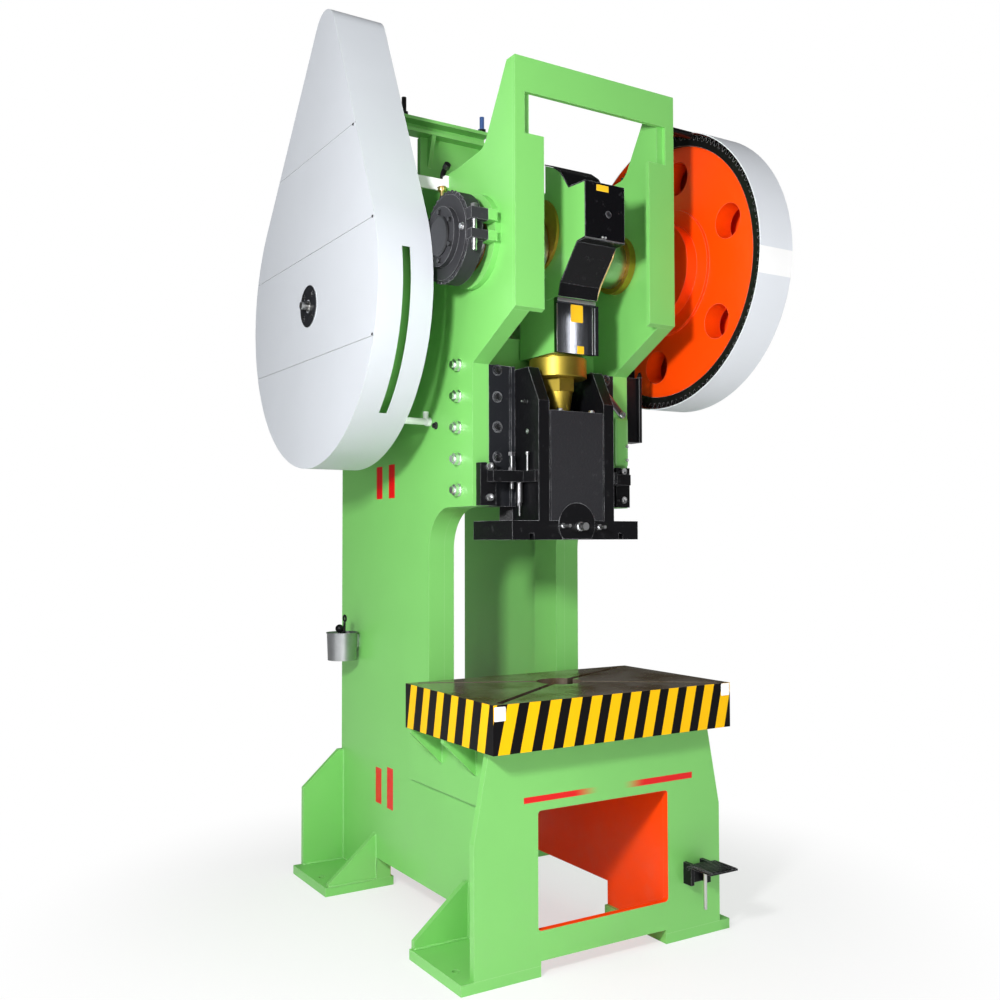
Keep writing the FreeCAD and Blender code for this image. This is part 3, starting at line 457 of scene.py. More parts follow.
@dataclass(frozen=True)
class BlackPaint:
    """Black paint: hammered bumps, grey scuffs and pale edges, partly rubbed paint and partly
    painted highlight.
    """

    name: str
    colour: Colour
    gloss: float = 0.34
    scale: float = 130.0
    depth: float = 0.0006
    rubbed_and_glint: float = 0.45
    edge: float = 0.0016
    broken: ClassVar[Mottle] = Mottle(18.0, 4.0, 0.6, 0.25, 0.6)
    scuff: ClassVar[Mottle] = Mottle(34.0, 5.0, 0.65, 0.60, 0.75)
    scuff_colour: ClassVar[Colour] = (0.16, 0.16, 0.17)
    bare_and_glint_colour: ClassVar[Colour] = (0.62, 0.63, 0.66)

    def make(self) -> bpy.types.Material:
        """Builds the material.

        Returns:
            The paint.
        """
        n = Nodes(self.name)
        broken = self.broken.mask(n)
        # pale edges: rubbed paint and painted highlight
        wear_and_glint = n.math("MULTIPLY", n.corners(self.edge), broken)
        scuff = self.scuff.mask(n)
        worn = n.mix(n.math("MULTIPLY", scuff, 0.12), self.colour, self.scuff_colour)
        n.link(n.mix(n.math("MULTIPLY", wear_and_glint, self.rubbed_and_glint), worn, self.bare_and_glint_colour),
               n.shader.inputs["Base Color"])
        n.link(n.math("ADD", self.gloss, n.math("MULTIPLY", scuff, 0.2)),
               n.shader.inputs["Roughness"])
        n.shader.inputs["Specular IOR Level"].default_value = 0.18
        n.bump(n.noise(self.scale, 1.5), self.depth, 0.55)
        return n.material


@dataclass(frozen=True)
class Stripes:
    """Slanted hazard stripes; the first yellow one begins at start, at the height low."""

    start: float
    pitch: float
    lean: float
    share: float
    low: ClassVar[float] = 0.719

    def mask(self, n: Nodes, along: Socket) -> Socket:
        """Masks the yellow: fract((along - start - lean*(z - low)) / pitch) < share.

        Args:
            n: the material's nodes.
            along: the coordinate that runs across the stripes.

        Returns:
            1 on the yellow and 0 on the black.
        """
        lift = n.math("MULTIPLY", n.math("SUBTRACT", n.axes()[2], self.low), self.lean)
        place = n.math("SUBTRACT", n.math("SUBTRACT", along, self.start), lift)
        phase = n.math("FRACT", n.math("DIVIDE", place, self.pitch))
        return n.math("LESS_THAN", phase, self.share)


@dataclass(frozen=True)
class Table:
    """The bolster: oily ground top, hazard stripes on the front and left faces."""

    name: str = "bolster_finish"
    front_tape: tuple[Point, Point] = ((-0.476, -0.727, 0.70), (0.476, -0.7255, 0.8685))
    side_tape: tuple[Point, Point] = ((-0.476, -0.727, 0.70), (-0.4745, -0.140, 0.8685))
    front: Stripes = Stripes(-0.4592, 0.0786, 0.230, 0.53)
    side: Stripes = Stripes(0.1584, 0.0945, 0.195, 0.47)
    film: Mottle = Mottle(5.5, 5.0, 0.62, 0.36, 0.66)
    fleck: Mottle = Mottle(46.0, 4.0, 0.7, 0.68, 0.76)
    ground: Colour = (0.26, 0.22, 0.17)
    browned: Colour = (0.13, 0.085, 0.038)
    bright: Colour = (0.36, 0.34, 0.30)

    def make(self) -> bpy.types.Material:
        """Builds the material.

        Returns:
            The finish of the whole plate.
        """
        n = Nodes(self.name)
        x, y, _ = n.axes()
        front = n.within(*self.front_tape)
        side = n.within(*self.side_tape)
        back = n.math("MULTIPLY", y, -1.0)
        first = self.front.mask(n, x)
        second = self.side.mask(n, back)
        tape = n.math("MAXIMUM", front, side)
        yellow = n.math("MAXIMUM", n.math("MULTIPLY", front, first),
                        n.math("MULTIPLY", n.math("SUBTRACT", 1.0, front),
                               n.math("MULTIPLY", side, second)))
        grain = n.noise(170.0, 2.0, 0.6, n.stretched((0.06, 1.0, 1.0)))
        film = self.film.mask(n)
        fleck = self.fleck.mask(n)
        steel = n.mix(film, self.ground, self.browned)
        steel = n.mix(n.math("MULTIPLY", fleck, 0.5), steel, self.bright)
        n.shader.inputs["Specular IOR Level"].default_value = 0.15
        painted = n.mix(yellow, INK, YELLOW)
        n.link(n.mix(tape, steel, painted), n.shader.inputs["Base Color"])
        n.link(n.math("MULTIPLY", n.math("SUBTRACT", 1.0, tape), 0.55),
               n.shader.inputs["Metallic"])
        bare = n.math("ADD", 0.13, n.math("MULTIPLY", n.math("ADD", grain, film), 0.10))
        n.link(n.math("ADD", n.math("MULTIPLY", n.math("SUBTRACT", 1.0, tape), bare),
                      n.math("MULTIPLY", tape, 0.34)), n.shader.inputs["Roughness"])
        n.bump(grain, 0.00010, 0.4)
        return n.material


class Palette:
    """Every finish of the press, made once."""

    def __init__(self) -> None:
        """Builds the materials that the CAD nodes and the new pieces share."""
        self.enamels()
        self.blacks()
        self.metals()
        self.table = Table().make()
        self.paper = Enamel("blank_label", PAPER, gloss=0.45, peel=0.0, dust=0.0).make()
        self.yellow = Enamel("yellow_label", LABEL_YELLOW, gloss=0.45, peel=0.0, dust=0.0).make()
        stud_end = Patch(STUD_BLUE, (-0.04, 0.09, 2.974), (0.03, 0.16, 3.04))
        self.studs = Enamel("stud_paint", INK, gloss=0.4, peel=0.0, dust=0.0,
                            patches=(stud_end,)).make()
        self.oilcan = Metal("galvanised_tin", (0.40, 0.41, 0.42), 0.36, oil=0.35).make()

    def enamels(self) -> None:
        """Green, orange, grey and white enamels, with the red bars and orange insides."""
        side_bars = tuple(Patch(RED, (-0.340, low, bottom), (-0.3285, low + 0.053, top))
                          for low, bottom, top in ((0.350, 1.520, 1.647), (0.240, 1.520, 1.650),
                                                   (0.354, 0.333, 0.470), (0.252, 0.330, 0.487)))
        inside = Patch(ORANGE, (-0.2665, -0.619, 0.0), (0.2665, 0.719, 0.6795))
        self.side = Enamel("side_enamel", GREEN, patches=side_bars + (inside,)).make()
        window = Patch(ORANGE, (-0.2635, -0.6444, 0.12), (0.2635, -0.60, 0.52))
        front_bars = tuple(Patch(RED, (start, -0.650, 0.541), (stop, -0.6445, top), fade)
                           for start, stop, top, fade in ((-0.316, -0.125, 0.560, 0.0),
                                                          (-0.126, -0.020, 0.560, 0.106),
                                                          (0.165, 0.372, 0.562, 0.0),
                                                          (0.070, 0.166, 0.562, -0.096)))
        self.base = Enamel("base_enamel", GREEN, patches=(window,) + front_bars).make()
        self.green = Enamel("green_enamel", GREEN).make()
        self.orange = Enamel("orange_enamel", ORANGE, gloss=0.27).make()
        self.grey = Enamel("guard_enamel", GREY, gloss=0.40, peel=0.0001, dust=0.04).make()
        right_bars = Patch(INK, (0.28, -1.0, 1.0), (0.70, 1.0, 3.2))
        self.white = Enamel("white_enamel", WHITE, gloss=0.34, peel=0.0001, dust=0.04,
                            patches=(right_bars,)).make()
        # near-white patch across the band at its front-most line: a painted highlight
        painted_highlight_patch = Patch((0.96, 0.96, 0.96), (0.46, -0.95, 2.255), (0.63, -0.86, 2.345))
        # the gear guard takes the lighter grey: painted light
        self.guard_inside = Enamel("gear_guard_enamel", LIT_GEAR_GUARD_GREY, gloss=0.40, peel=0.0001,
                                   dust=0.04, patches=(painted_highlight_patch,), turned_in=ORANGE,
                                   centre=(0.560, -0.385, 2.358)).make()

    def blacks(self) -> None:
        """Black paints, from the guides' plates to the oily gear teeth."""
        self.black = BlackPaint("black_paint", (0.006, 0.006, 0.007)).make()
        # the gibs' pale edges: rubbed paint and painted highlight
        self.plate = BlackPaint("black_plate", (0.014, 0.015, 0.018), gloss=0.33, scale=90.0,
                                depth=0.0005, rubbed_and_glint=0.75, edge=0.0022).make()
        self.casting = BlackPaint("black_casting", (0.0045, 0.0045, 0.0055), gloss=0.36,
                                  scale=150.0, depth=0.0010, rubbed_and_glint=0.6, edge=0.0020).make()
        self.front = BlackPaint("black_slide_front", (0.020, 0.020, 0.023), gloss=0.40,
                                scale=150.0, depth=0.0045, rubbed_and_glint=0.4, edge=0.0018).make()
        self.dusty = BlackPaint("dusty_casting", (0.030, 0.030, 0.034), gloss=0.55, scale=70.0,
                                depth=0.0008, rubbed_and_glint=0.5, edge=0.0022).make()
        self.sheet = BlackPaint("black_sheet", (0.004, 0.004, 0.005), gloss=0.22, scale=30.0,
                                depth=0.0003, rubbed_and_glint=0.9, edge=0.0012).make()
        # the teeth's pale edges paint the glints on the teeth
        self.teeth = BlackPaint("oily_teeth", (0.006, 0.006, 0.006), gloss=0.30, scale=60.0,
                                depth=0.0004, rubbed_and_glint=0.9, edge=0.0014).make()

    def metals(self) -> None:
        """Bare steels, bronze, brass, zinc and the polished and passivated parts."""
        self.mirror = Metal("polished_black", (0.26, 0.27, 0.30), 0.035,
                            lines=(0.35, 1.0, 0.02), oil=0.15, vary=0.05).make()
        self.steel = Metal("turned_steel", (0.62, 0.62, 0.61), 0.24).make()
        self.dark_steel = Metal("dark_steel", (0.10, 0.10, 0.105), 0.36).make()
        self.iron = Metal("oily_iron", (0.035, 0.032, 0.030), 0.42).make()
        self.bronze = Metal("bronze", (0.72, 0.42, 0.07), 0.46).make()
        self.brass = Metal("brass", (0.78, 0.56, 0.24), 0.25).make()
        self.gold = Metal("yellow_passivated", (0.46, 0.345, 0.055), 0.40,
                          lines=(0.02, 0.02, 1.0), oil=0.40).make()
        self.zinc = Metal("bright_zinc", (0.86, 0.87, 0.88), 0.25, oil=0.15).make()
        self.rods = Metal("turned_rods", (0.30, 0.30, 0.31), 0.24,
                          lines=(0.05, 0.05, 1.0), oil=0.5).make()


# ------------------------------------------------------------------ surfaces


def basis(axis: Sequence[float]) -> tuple[Array, Array, Array]:
    """Finds three unit vectors square to each other.

    Args:
        axis: the direction of the third.

    Returns:
        u, v and w, with w along axis.
    """
    w = np.array(axis, float) / np.linalg.norm(axis)
    helper = np.array(UP if abs(w[2]) < 0.9 else RIGHT)
    u = np.cross(helper, w)
    u /= np.linalg.norm(u)
    return u, np.cross(w, u), w


def smooth_path(points: Sequence[Point], steps: int = 12) -> Array:
    """Draws a Catmull-Rom curve through the points.

    Args:
        points: the points that it passes.
        steps: samples to a span.

    Returns:
        The samples, one row each.
    """
    p = np.array(points, float)
    p = np.vstack([2 * p[0] - p[1], p, 2 * p[-1] - p[-2]])
    t = np.linspace(0.0, 1.0, steps, endpoint=False)[:, None]
    spans = [0.5 * (2 * p[k + 1] + (p[k + 2] - p[k]) * t
                    + (2 * p[k] - 5 * p[k + 1] + 4 * p[k + 2] - p[k + 3]) * t ** 2
                    + (3 * p[k + 1] - p[k] - 3 * p[k + 2] + p[k + 3]) * t ** 3)
             for k in range(len(p) - 3)]
    return np.vstack(spans + [p[-2:-1]])


class Surface:
    """Collects grid surfaces and turns them into one mesh object."""

    slab_columns = 72
    slab_inset = (0.0, 0.0, 0.35, 1.0, 1.0)
    slab_height = (0.0, 0.65, 0.93, 1.0, 1.0)
    slab_spread = (1.0, 1.0, 1.0, 1.0, 1e-3)

    def __init__(self, name: str, *materials: bpy.types.Material) -> None:
        """Starts an empty piece.

        Args:
            name: the object's name.
            materials: its finishes, in the order of the grids' finish numbers.
        """
        self.name = name
        self.materials = materials
        self.points: list[Array] = []
        self.quads: list[Array] = []
        self.finish: list[Array] = []
        self.count = 0

    def grid(self, points: Array, finish: int = 0) -> None:
        """Adds a grid whose quad (i, j) joins (i, j), (i, j+1), (i+1, j+1) and (i+1, j),
        and whose last column joins the first.

        Args:
            points: rows by columns by 3.
            finish: the number of the grid's material.
        """
        rows, cols = points.shape[:2]
        i = np.arange(rows - 1)[:, None]
        j = np.arange(cols)[None, :]
        right = (j + 1) % cols
        quads = np.stack([i * cols + j, i * cols + right, (i + 1) * cols + right,
                          (i + 1) * cols + j], axis=-1).reshape(-1, 4)
        self.quads.append(quads + self.count)
        self.finish.append(np.full(len(quads), finish))
        self.points.append(points.reshape(-1, 3))
        self.count += rows * cols

    def lathe(self, profile: Profile, centre: Point, axis: Sequence[float], sides: int = 48,
              finish: int = 0, turn: float = 0.0) -> None:
        """Adds rings c + h*w + r*f(a)*(cos a*u + sin a*v), f = 1 or the hexagon's
        cos 30 / cos((a mod 60) - 30 degrees).

        Args:
            profile: radius, height and 1 for a hexagonal ring, from the foot to the top.
            centre: the point at height zero.
            axis: the direction of height.
            sides: columns round the axis.
            finish: the number of the grid's material.
            turn: turns the hexagon about the axis, in radians.
        """
        u, v, w = basis(axis)
        angle = np.linspace(0.0, 2 * np.pi, sides, endpoint=False)
        hexagon = math.cos(math.pi / 6) / np.cos(np.mod(angle, np.pi / 3) - np.pi / 6)
        table = np.array(profile, float)
        factor = np.where(table[:, 2:3] > 0.5, hexagon[None, :], 1.0) * table[:, 0:1]
        spun = angle + turn
        flat = np.cos(spun)[:, None] * u + np.sin(spun)[:, None] * v
        self.grid(np.array(centre) + table[:, 1, None, None] * w
                  + factor[:, :, None] * flat[None, :, :], finish)

    def tube(self, path: Array, radius: float | Array, sides: int, reference: Point) -> None:
        """Adds a closed tube p(s) + r(s)*(cos a*n + sin a*b), n = t x reference, in the
        first material.

        Args:
            path: the points of its line, one row each.
            radius: its radius, or one for each point.
            sides: columns round the line.
            reference: the direction that n is square to.
        """
        path = np.asarray(path, float)
        radii = np.broadcast_to(np.asarray(radius, float), (len(path),))
        tangent = np.gradient(path, axis=0)
        tangent /= np.linalg.norm(tangent, axis=1, keepdims=True)
        normal = np.cross(tangent, np.array(reference))
        normal /= np.linalg.norm(normal, axis=1, keepdims=True)
        other = np.cross(tangent, normal)
        path = np.vstack([path[:1], path, path[-1:]])
        radii = np.concatenate([[POLE], radii, [POLE]])
        normal = np.vstack([normal[:1], normal, normal[-1:]])
        other = np.vstack([other[:1], other, other[-1:]])
        angle = np.linspace(0.0, 2 * np.pi, sides, endpoint=False)[None, :, None]
        ring = np.cos(angle) * normal[:, None, :] + np.sin(angle) * other[:, None, :]
        self.grid(path[:, None, :] + radii[:, None, None] * ring)

    def slab(self, centre: Point, right: Sequence[float], out: Sequence[float],
             size: tuple[float, float], thick: float, finish: int = 0,
             power: float = 9.0) -> None:
        """Adds a plate with rounded corners, |x/a|^p + |y/b|^p = 1, and a rounded rim.

        Args:
            centre: the middle of its back face.
            right: the direction of its width.
            out: the direction of its thickness.
            size: width and height.
            thick: thickness.
            finish: the number of the grid's material.
            power: the p of the outline.
        """
        r, o = np.array(right, float), np.array(out, float)
        r, o = r / np.linalg.norm(r), o / np.linalg.norm(o)
        up = np.cross(o, r)
        angle = np.linspace(0.0, 2 * np.pi, self.slab_columns, endpoint=False)
        c, s = np.cos(angle), np.sin(angle)
        reach = (np.abs(c) ** power + np.abs(s) ** power) ** (-1.0 / power)
        half = np.array(size) / 2
        inset = np.array(self.slab_inset) * min(thick, min(size) / 4)
        height = np.array(self.slab_height) * thick
        spread = np.array(self.slab_spread)
        x = (half[0] - inset)[:, None] * spread[:, None] * (reach * c)[None, :]
        y = (half[1] - inset)[:, None] * spread[:, None] * (reach * s)[None, :]
        self.grid(np.array(centre) + x[:, :, None] * r + y[:, :, None] * up
                  + height[:, None, None] * o, finish)

    def build(self, body: Body, slot: Slot, sharp: float = 38.0) -> bpy.types.Object:
        """Makes the object and fixes it to its body.

        Args:
            body: the CAD body it rides on.
            slot: the record's slot of its finish; not used.
            sharp: edges above this angle, in degrees, stay sharp.

        Returns:
            The object.
        """
        points = np.concatenate(self.points).astype(np.float32)
        quads = np.concatenate(self.quads).astype(np.int32)
        mesh = bpy.data.meshes.new(self.name)
        mesh.vertices.add(len(points))
        mesh.vertices.foreach_set("co", points.ravel())
        mesh.loops.add(quads.size)
        mesh.loops.foreach_set("vertex_index", quads.ravel())
        mesh.polygons.add(len(quads))
        mesh.polygons.foreach_set("loop_start", np.arange(0, quads.size, 4, dtype=np.int32))
        mesh.polygons.foreach_set("material_index",
                                  np.concatenate(self.finish).astype(np.int32))
        mesh.update(calc_edges=True)
        mesh.polygons.foreach_set("use_smooth", np.ones(len(quads), dtype=bool))
        mesh.set_sharp_from_angle(angle=math.radians(sharp))
        for material in self.materials:
            mesh.materials.append(material)
        made = bpy.data.objects.new(self.name, mesh)
        bpy.context.scene.collection.objects.link(made)
        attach(made, body.value)
        log.info("%s: %d faces on %s", self.name, len(quads), body.value)
        return made


# ------------------------------------------------------------------ screws and beads


@dataclass(frozen=True)
class CapScrew:
    """A socket head cap screw: chamfered head with a hexagonal recess."""

    radius: float
    height: float
    socket: float
    depth: float

    def add(self, to: Surface, seat: Point, axis: Point, finish: int = 0) -> None:
        """Adds the screw, rising along axis.

        Args:
            to: the surface that takes it.
            seat: the middle of its head's foot.
            axis: the direction of its head.
            finish: the number of its material.
        """
        r, h, s = self.radius, self.height, self.socket
        to.lathe(((r, 0.0, 0), (r, h * 0.86, 0), (r * 0.93, h, 0), (s * 1.12, h, 0),
                  (s, h - 0.0006, 1), (s * 0.98, h - self.depth, 1),
                  (POLE, h - self.depth * 1.08, 0)), seat, axis, finish=finish)


@dataclass(frozen=True)
class HexBolt:
    """A hexagon head on its washer, with the chamfer that trims its corners."""

    radius: float
    height: float
    washer: float = 0.0
    washer_edge: ClassVar[float] = 0.0016
    washer_top: ClassVar[float] = 0.0018

    def add(self, to: Surface, seat: Point, axis: Point, finish: int = 0,
            turn: float = 0.0) -> None:
        """Adds the bolt, rising along axis.

        Args:
            to: the surface that takes it.
            seat: the middle of its washer's foot, or of its head's where it has none.
            axis: the direction of its head.
            finish: the number of its material.
            turn: turns the head about the axis, in radians.
        """
        r, h, w = self.radius, self.height, self.washer
        foot: Profile = ((w, 0.0, 0), (w, self.washer_edge, 0), (r * 0.99, self.washer_top, 0))
        lift = self.washer_top if w else 0.0
        to.lathe((foot if w else ()) + (
            (r, lift, 1), (r, lift + h * 0.86, 1), (r * 0.86, lift + h, 0),
            (POLE, lift + h, 0)), seat, axis, finish=finish, turn=turn)


@dataclass(frozen=True)
class Strip:
    """A thin flat piece on an upright face that looks to the front."""

    centre: Point
    size: tuple[float, float]
    thick: float = 0.0007
    power: float = 24.0

    def add(self, to: Surface, finish: int = 0) -> None:
        """Adds the strip with its back at centre."""
        to.slab(self.centre, RIGHT, FRONT, self.size, self.thick, finish, self.power)


@dataclass(frozen=True)
class WeldBead:
    """A weld bead: r(s) = r0*(1 + ripple*sin(2*pi*s/pitch)), blunt at its ends, whose line
    wanders by a share of its radius between knots."""

    radius: float
    ripple: ClassVar[float] = 0.13
    pitch: ClassVar[float] = 0.006
    step: ClassVar[float] = 0.0018
    wander: ClassVar[float] = 0.10
    knot: ClassVar[float] = 0.03
    blunt: ClassVar[float] = 0.35
    sides: ClassVar[int] = 8

    def add(self, to: Surface, start: Point, stop: Point, seed: int) -> None:
        """Adds the bead between two points.

        Args:
            to: the surface that takes it.
            start: its first point.
            stop: its last point.
            seed: the seed of its wander.
        """
        a, b = np.array(start, float), np.array(stop, float)
        length = float(np.linalg.norm(b - a))
        s = np.linspace(0.0, length, max(8, int(length / self.step)))
        rng = np.random.default_rng(seed)
        knots = np.linspace(0.0, length, max(3, int(length / self.knot)))
        wander = np.interp(s, knots, rng.normal(0.0, self.radius * self.wander, len(knots)))
        u, v, w = basis(b - a)
        path = a + s[:, None] * w + wander[:, None] * (u + v)
        wave = 1 + self.ripple * np.sin(2 * np.pi * s / self.pitch)
        ends = np.clip(np.minimum(s, length - s) / (2 * self.radius) + self.blunt, 0.0, 1.0)
        to.tube(path, self.radius * wave * ends, self.sides, tuple(u))


# ------------------------------------------------------------------ sub-assemblies


@dataclass(frozen=True)
class HeadScrews:
    """The screws of the slide guides and of the knockout brackets, in bores with a rim."""

    guide_x: float = 0.232
    guide_z: tuple[float, ...] = (1.940, 1.848, 1.745, 1.642)
    guide_y: float = -0.3552
    guide_screw: CapScrew = CapScrew(0.0102, 0.0090, 0.0052, 0.0055)
    rim: Profile = ((0.0195, 0.0, 0), (0.0195, 0.0012, 0), (0.0165, 0.0018, 0),
                    (0.0150, 0.0004, 0), (0.0101, 0.0003, 0))
    bracket_x: float = 0.283
    bracket_z: tuple[float, ...] = (1.607, 1.503)
    bracket_y: float = -0.3852
    bracket_screw: CapScrew = CapScrew(0.0130, 0.0118, 0.0066, 0.0060)

    def build(self, palette: Palette) -> None:
        """Makes the screws, which stand for their CAD node.

        Args:
            palette: the finishes.
        """
        screws = Surface("head_screws", palette.dark_steel, palette.zinc, palette.plate)
        for side in (-1.0, 1.0):
            for z in self.guide_z:
                seat = (side * self.guide_x, self.guide_y, z)
                screws.lathe(self.rim, seat, FRONT, finish=2)
                self.guide_screw.add(screws, seat, FRONT)
            for z in self.bracket_z:
                seat = (side * self.bracket_x, self.bracket_y, z)
                self.bracket_screw.add(screws, seat, FRONT, 1)
        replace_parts(screws.build(Body.FRAME, Slot.STEEL), "head_cap_screws")


@dataclass(frozen=True)
class BeltGuardTrim:
    """Seam screws and the black hub plate with its bolts on the belt guard's face."""

    face: float = -0.680
    screws: tuple[tuple[float, float], ...] = ((-0.157, 2.767), (-0.313, 2.412),
                                               (-0.313, 2.027))
    screw: Profile = ((0.0052, 0.0, 0), (0.0050, 0.0012, 0), (0.0034, 0.0026, 0),
                      (POLE, 0.0030, 0))
    hub: tuple[float, float] = (0.240, 2.220)
    plate: Profile = ((0.0775, -0.001, 0), (0.0775, 0.0030, 0), (0.0755, 0.0042, 0),
                      (0.0290, 0.0042, 0), (0.0270, 0.0034, 0), (0.0235, 0.0034, 0),
                      (0.0235, 0.0, 0))
    bolt: HexBolt = HexBolt(0.0065, 0.0042, 0.0085)
    bolts: int = 4
    bolt_circle: float = 0.056
    bolt_seat: float = 0.0041

    def build(self, palette: Palette) -> None:
        """Makes the seam screws and the plate round the air union.

        Args:
            palette: the finishes.
        """
        seams = Surface("guard_seam_screws", palette.dark_steel)
        for y, z in self.screws:
            seams.lathe(self.screw, (self.face + 0.0002, y, z), LEFT, 24)
        seams.build(Body.FRAME, Slot.STEEL)
        plate = Surface("guard_hub_plate", palette.plate, palette.dark_steel)
        plate.lathe(self.plate, (self.face, self.hub[0], self.hub[1]), LEFT, 64)
        for k in range(self.bolts):
            angle = math.radians(45.0 + 90.0 * k)
            seat = (self.face - self.bolt_seat, self.hub[0] + self.bolt_circle * math.cos(angle),
                    self.hub[1] + self.bolt_circle * math.sin(angle))
            self.bolt.add(plate, seat, LEFT, 1, 0.3 * k)
        plate.build(Body.FRAME, Slot.BLACK)


@dataclass(frozen=True)
class HoodTrim:
    """Blank yellow labels, a dimple, screws and edge strips on the rod's covers; the bright strips
    on the lower cover's edges paint its edge highlights.
    """

    front: float = -0.6612
    cover: float = -0.4952
    shelf: float = -0.4998
    dimple: Profile = ((0.0120, 0.0, 0), (0.0118, 0.0016, 0), (0.0085, 0.0022, 0),
                       (0.0060, 0.0005, 0), (POLE, 0.0003, 0))
    screw: CapScrew = CapScrew(0.0042, 0.0040, 0.0022, 0.0020)
    screw_z: float = 2.3555
    edges: tuple[float, ...] = (-0.0795, 0.0690, 0.0795)

    def build(self, palette: Palette) -> None:
        """Makes the labels, screws and strips; they ride on the connecting rod.

        Args:
            palette: the finishes.
        """
        labels = Surface("hood_labels", palette.yellow)
        for centre, size in (((-0.010, self.front, 2.5195), (0.050, 0.021)),
                             ((0.003, self.cover, 2.134), (0.051, 0.060)),
                             ((0.018, self.cover, 2.0100), (0.029, 0.027))):
            Strip(centre, size, 0.0006, 20.0).add(labels)
        labels.build(Body.CONROD, Slot.BRONZE)
        fittings = Surface("hood_fittings", palette.plate, palette.zinc)
        fittings.lathe(self.dimple, (0.014, self.front + 0.0001, 2.436), FRONT, 32)
        for x in (-0.012, 0.0):
            self.screw.add(fittings, (x, self.front + 0.0002, self.screw_z), FRONT, 1)
        Strip((0.0, self.shelf, 2.1758), (0.1600, 0.0120)).add(fittings, 1)
        Strip((0.0, self.front - 0.0001, 2.3488), (0.1600, 0.0030), 0.0005).add(fittings, 1)
        # bright zinc strips on the cover's edges: painted highlights
        for x in self.edges:
            Strip((x, self.cover, 2.0800), (0.0026, 0.1640)).add(fittings, 1)
        fittings.build(Body.CONROD, Slot.BLACK)


@dataclass(frozen=True)
class BrakeTrim:
    """Lining blocks round the band's rim, bolts of the hub disc and the band's small bolt."""

    centre: tuple[float, float] = (-0.385, 2.358)
    blocks: int = 30
    first: float = 214.0
    sweep: float = 292.0
    rim: float = 0.1492
    block: tuple[float, float] = (0.0125, 0.0095)
    block_thick: float = 0.0030
    band_face: float = -0.446
    band_bolt: HexBolt = HexBolt(0.0100, 0.0075, 0.0125)
    hub_face: float = -0.472
    hub_bolt: HexBolt = HexBolt(0.0085, 0.0060, 0.0105)
    hub_bolts: int = 6
    hub_circle: float = 0.080

    def around(self, radius: float, degrees: float, x: float) -> Point:
        """Finds a point about the crank's axis.

        Args:
            radius: its distance from the axis.
            degrees: its angle from the rear, upwards.
            x: its place along the axis.

        Returns:
            The point.
        """
        angle = math.radians(degrees)
        return (x, self.centre[0] + radius * math.cos(angle),
                self.centre[1] + radius * math.sin(angle))

    def build(self, palette: Palette) -> None:
        """Makes the band's blocks and bolts.

        Args:
            palette: the finishes.
        """
        band = Surface("brake_band_rim", palette.dusty, palette.zinc)
        for k in range(self.blocks):
            degrees = self.first + self.sweep * k / (self.blocks - 1)
            angle = math.radians(degrees)
            along = (0.0, -math.sin(angle), math.cos(angle))
            band.slab(self.around(self.rim, degrees, self.band_face + 0.0004), along, LEFT,
                      self.block, self.block_thick, 0, 5.0)
        head = self.around(0.118, 176.0, self.hub_face + 0.0195)
        self.band_bolt.add(band, head, LEFT, 1)
        band.build(Body.FRAME, Slot.BLACK)
        hub = Surface("brake_hub_bolts", palette.dark_steel)
        for k in range(self.hub_bolts):
            seat = self.around(self.hub_circle, 30.0 + 60.0 * k, self.hub_face + 0.0002)
            self.hub_bolt.add(hub, seat, LEFT, 0, 0.4 * k)
        hub.build(Body.CRANK, Slot.STEEL)


@dataclass(frozen=True)
class AirLine:
    """The brass elbow under the upper guard bar, its hoses and the lower bar's nut."""

    elbow: Point = (-0.352, -0.182, 2.594)
    elbow_nut: HexBolt = HexBolt(0.0150, 0.0130, 0.0170)
    stem: Profile = ((0.0085, 0.005, 0), (0.0085, 0.030, 0), (0.0115, 0.031, 1),
                     (0.0115, 0.043, 1), (0.0070, 0.044, 0), (0.0070, 0.052, 0),
                     (POLE, 0.052, 0))
    lower: tuple[Point, ...] = ((0.0, 0.0, -0.050), (0.002, -0.004, -0.078),
                                (0.004, 0.020, -0.104), (0.006, 0.056, -0.112),
                                (0.014, 0.082, -0.112), (0.026, 0.092, -0.112))
    lower_radius: float = 0.0085
    gland: Profile = ((0.0150, 0.0, 1), (0.0150, 0.0075, 1), (0.0115, 0.0100, 0),
                      (0.0080, 0.0100, 0))
    upper: tuple[Point, ...] = ((-0.3400, -0.164, 2.638), (-0.3420, -0.170, 2.652),
                                (-0.3430, -0.182, 2.662), (-0.3430, -0.196, 2.670))
    upper_radius: float = 0.0095
    upper_nut: HexBolt = HexBolt(0.0140, 0.0180)
    foot: Point = (-0.3288, -0.095, 1.768)
    foot_nut: Profile = ((0.0135, 0.0, 0), (0.0135, 0.0040, 0), (0.0100, 0.0055, 0),
                         (0.0100, 0.0120, 1), (0.0060, 0.0150, 0), (POLE, 0.0155, 0))
    sides: int = 14

    def build(self, palette: Palette) -> None:
        """Makes the fitting, the hoses and the nut; the lower hose's points are given from
        the elbow.

        Args:
            palette: the finishes.
        """
        x, y, z = self.elbow
        fitting = Surface("brass_elbow", palette.brass)
        self.elbow_nut.add(fitting, (x, y, z + 0.0065), DOWN)
        fitting.lathe(self.stem, (x, y, z), DOWN)
        fitting.build(Body.FRAME, Slot.BRONZE)
        path = smooth_path([(x + a, y + b, z + c) for a, b, c in self.lower])
        hose = Surface("black_hoses", palette.black, palette.dark_steel)
        hose.tube(path, self.lower_radius, self.sides, UP)
        hose.lathe(self.gland, (self.foot[0], y + 0.089, z - 0.112), (-1.0, -0.45, 0.0),
                   finish=1)
        upper = smooth_path(self.upper)
        hose.tube(upper, self.upper_radius, self.sides, RIGHT)
        self.upper_nut.add(hose, tuple(upper[-4]), (0.0, -0.87, 0.50), 1)
        hose.lathe(self.foot_nut, self.foot, LEFT)
        hose.build(Body.FRAME, Slot.BLACK)


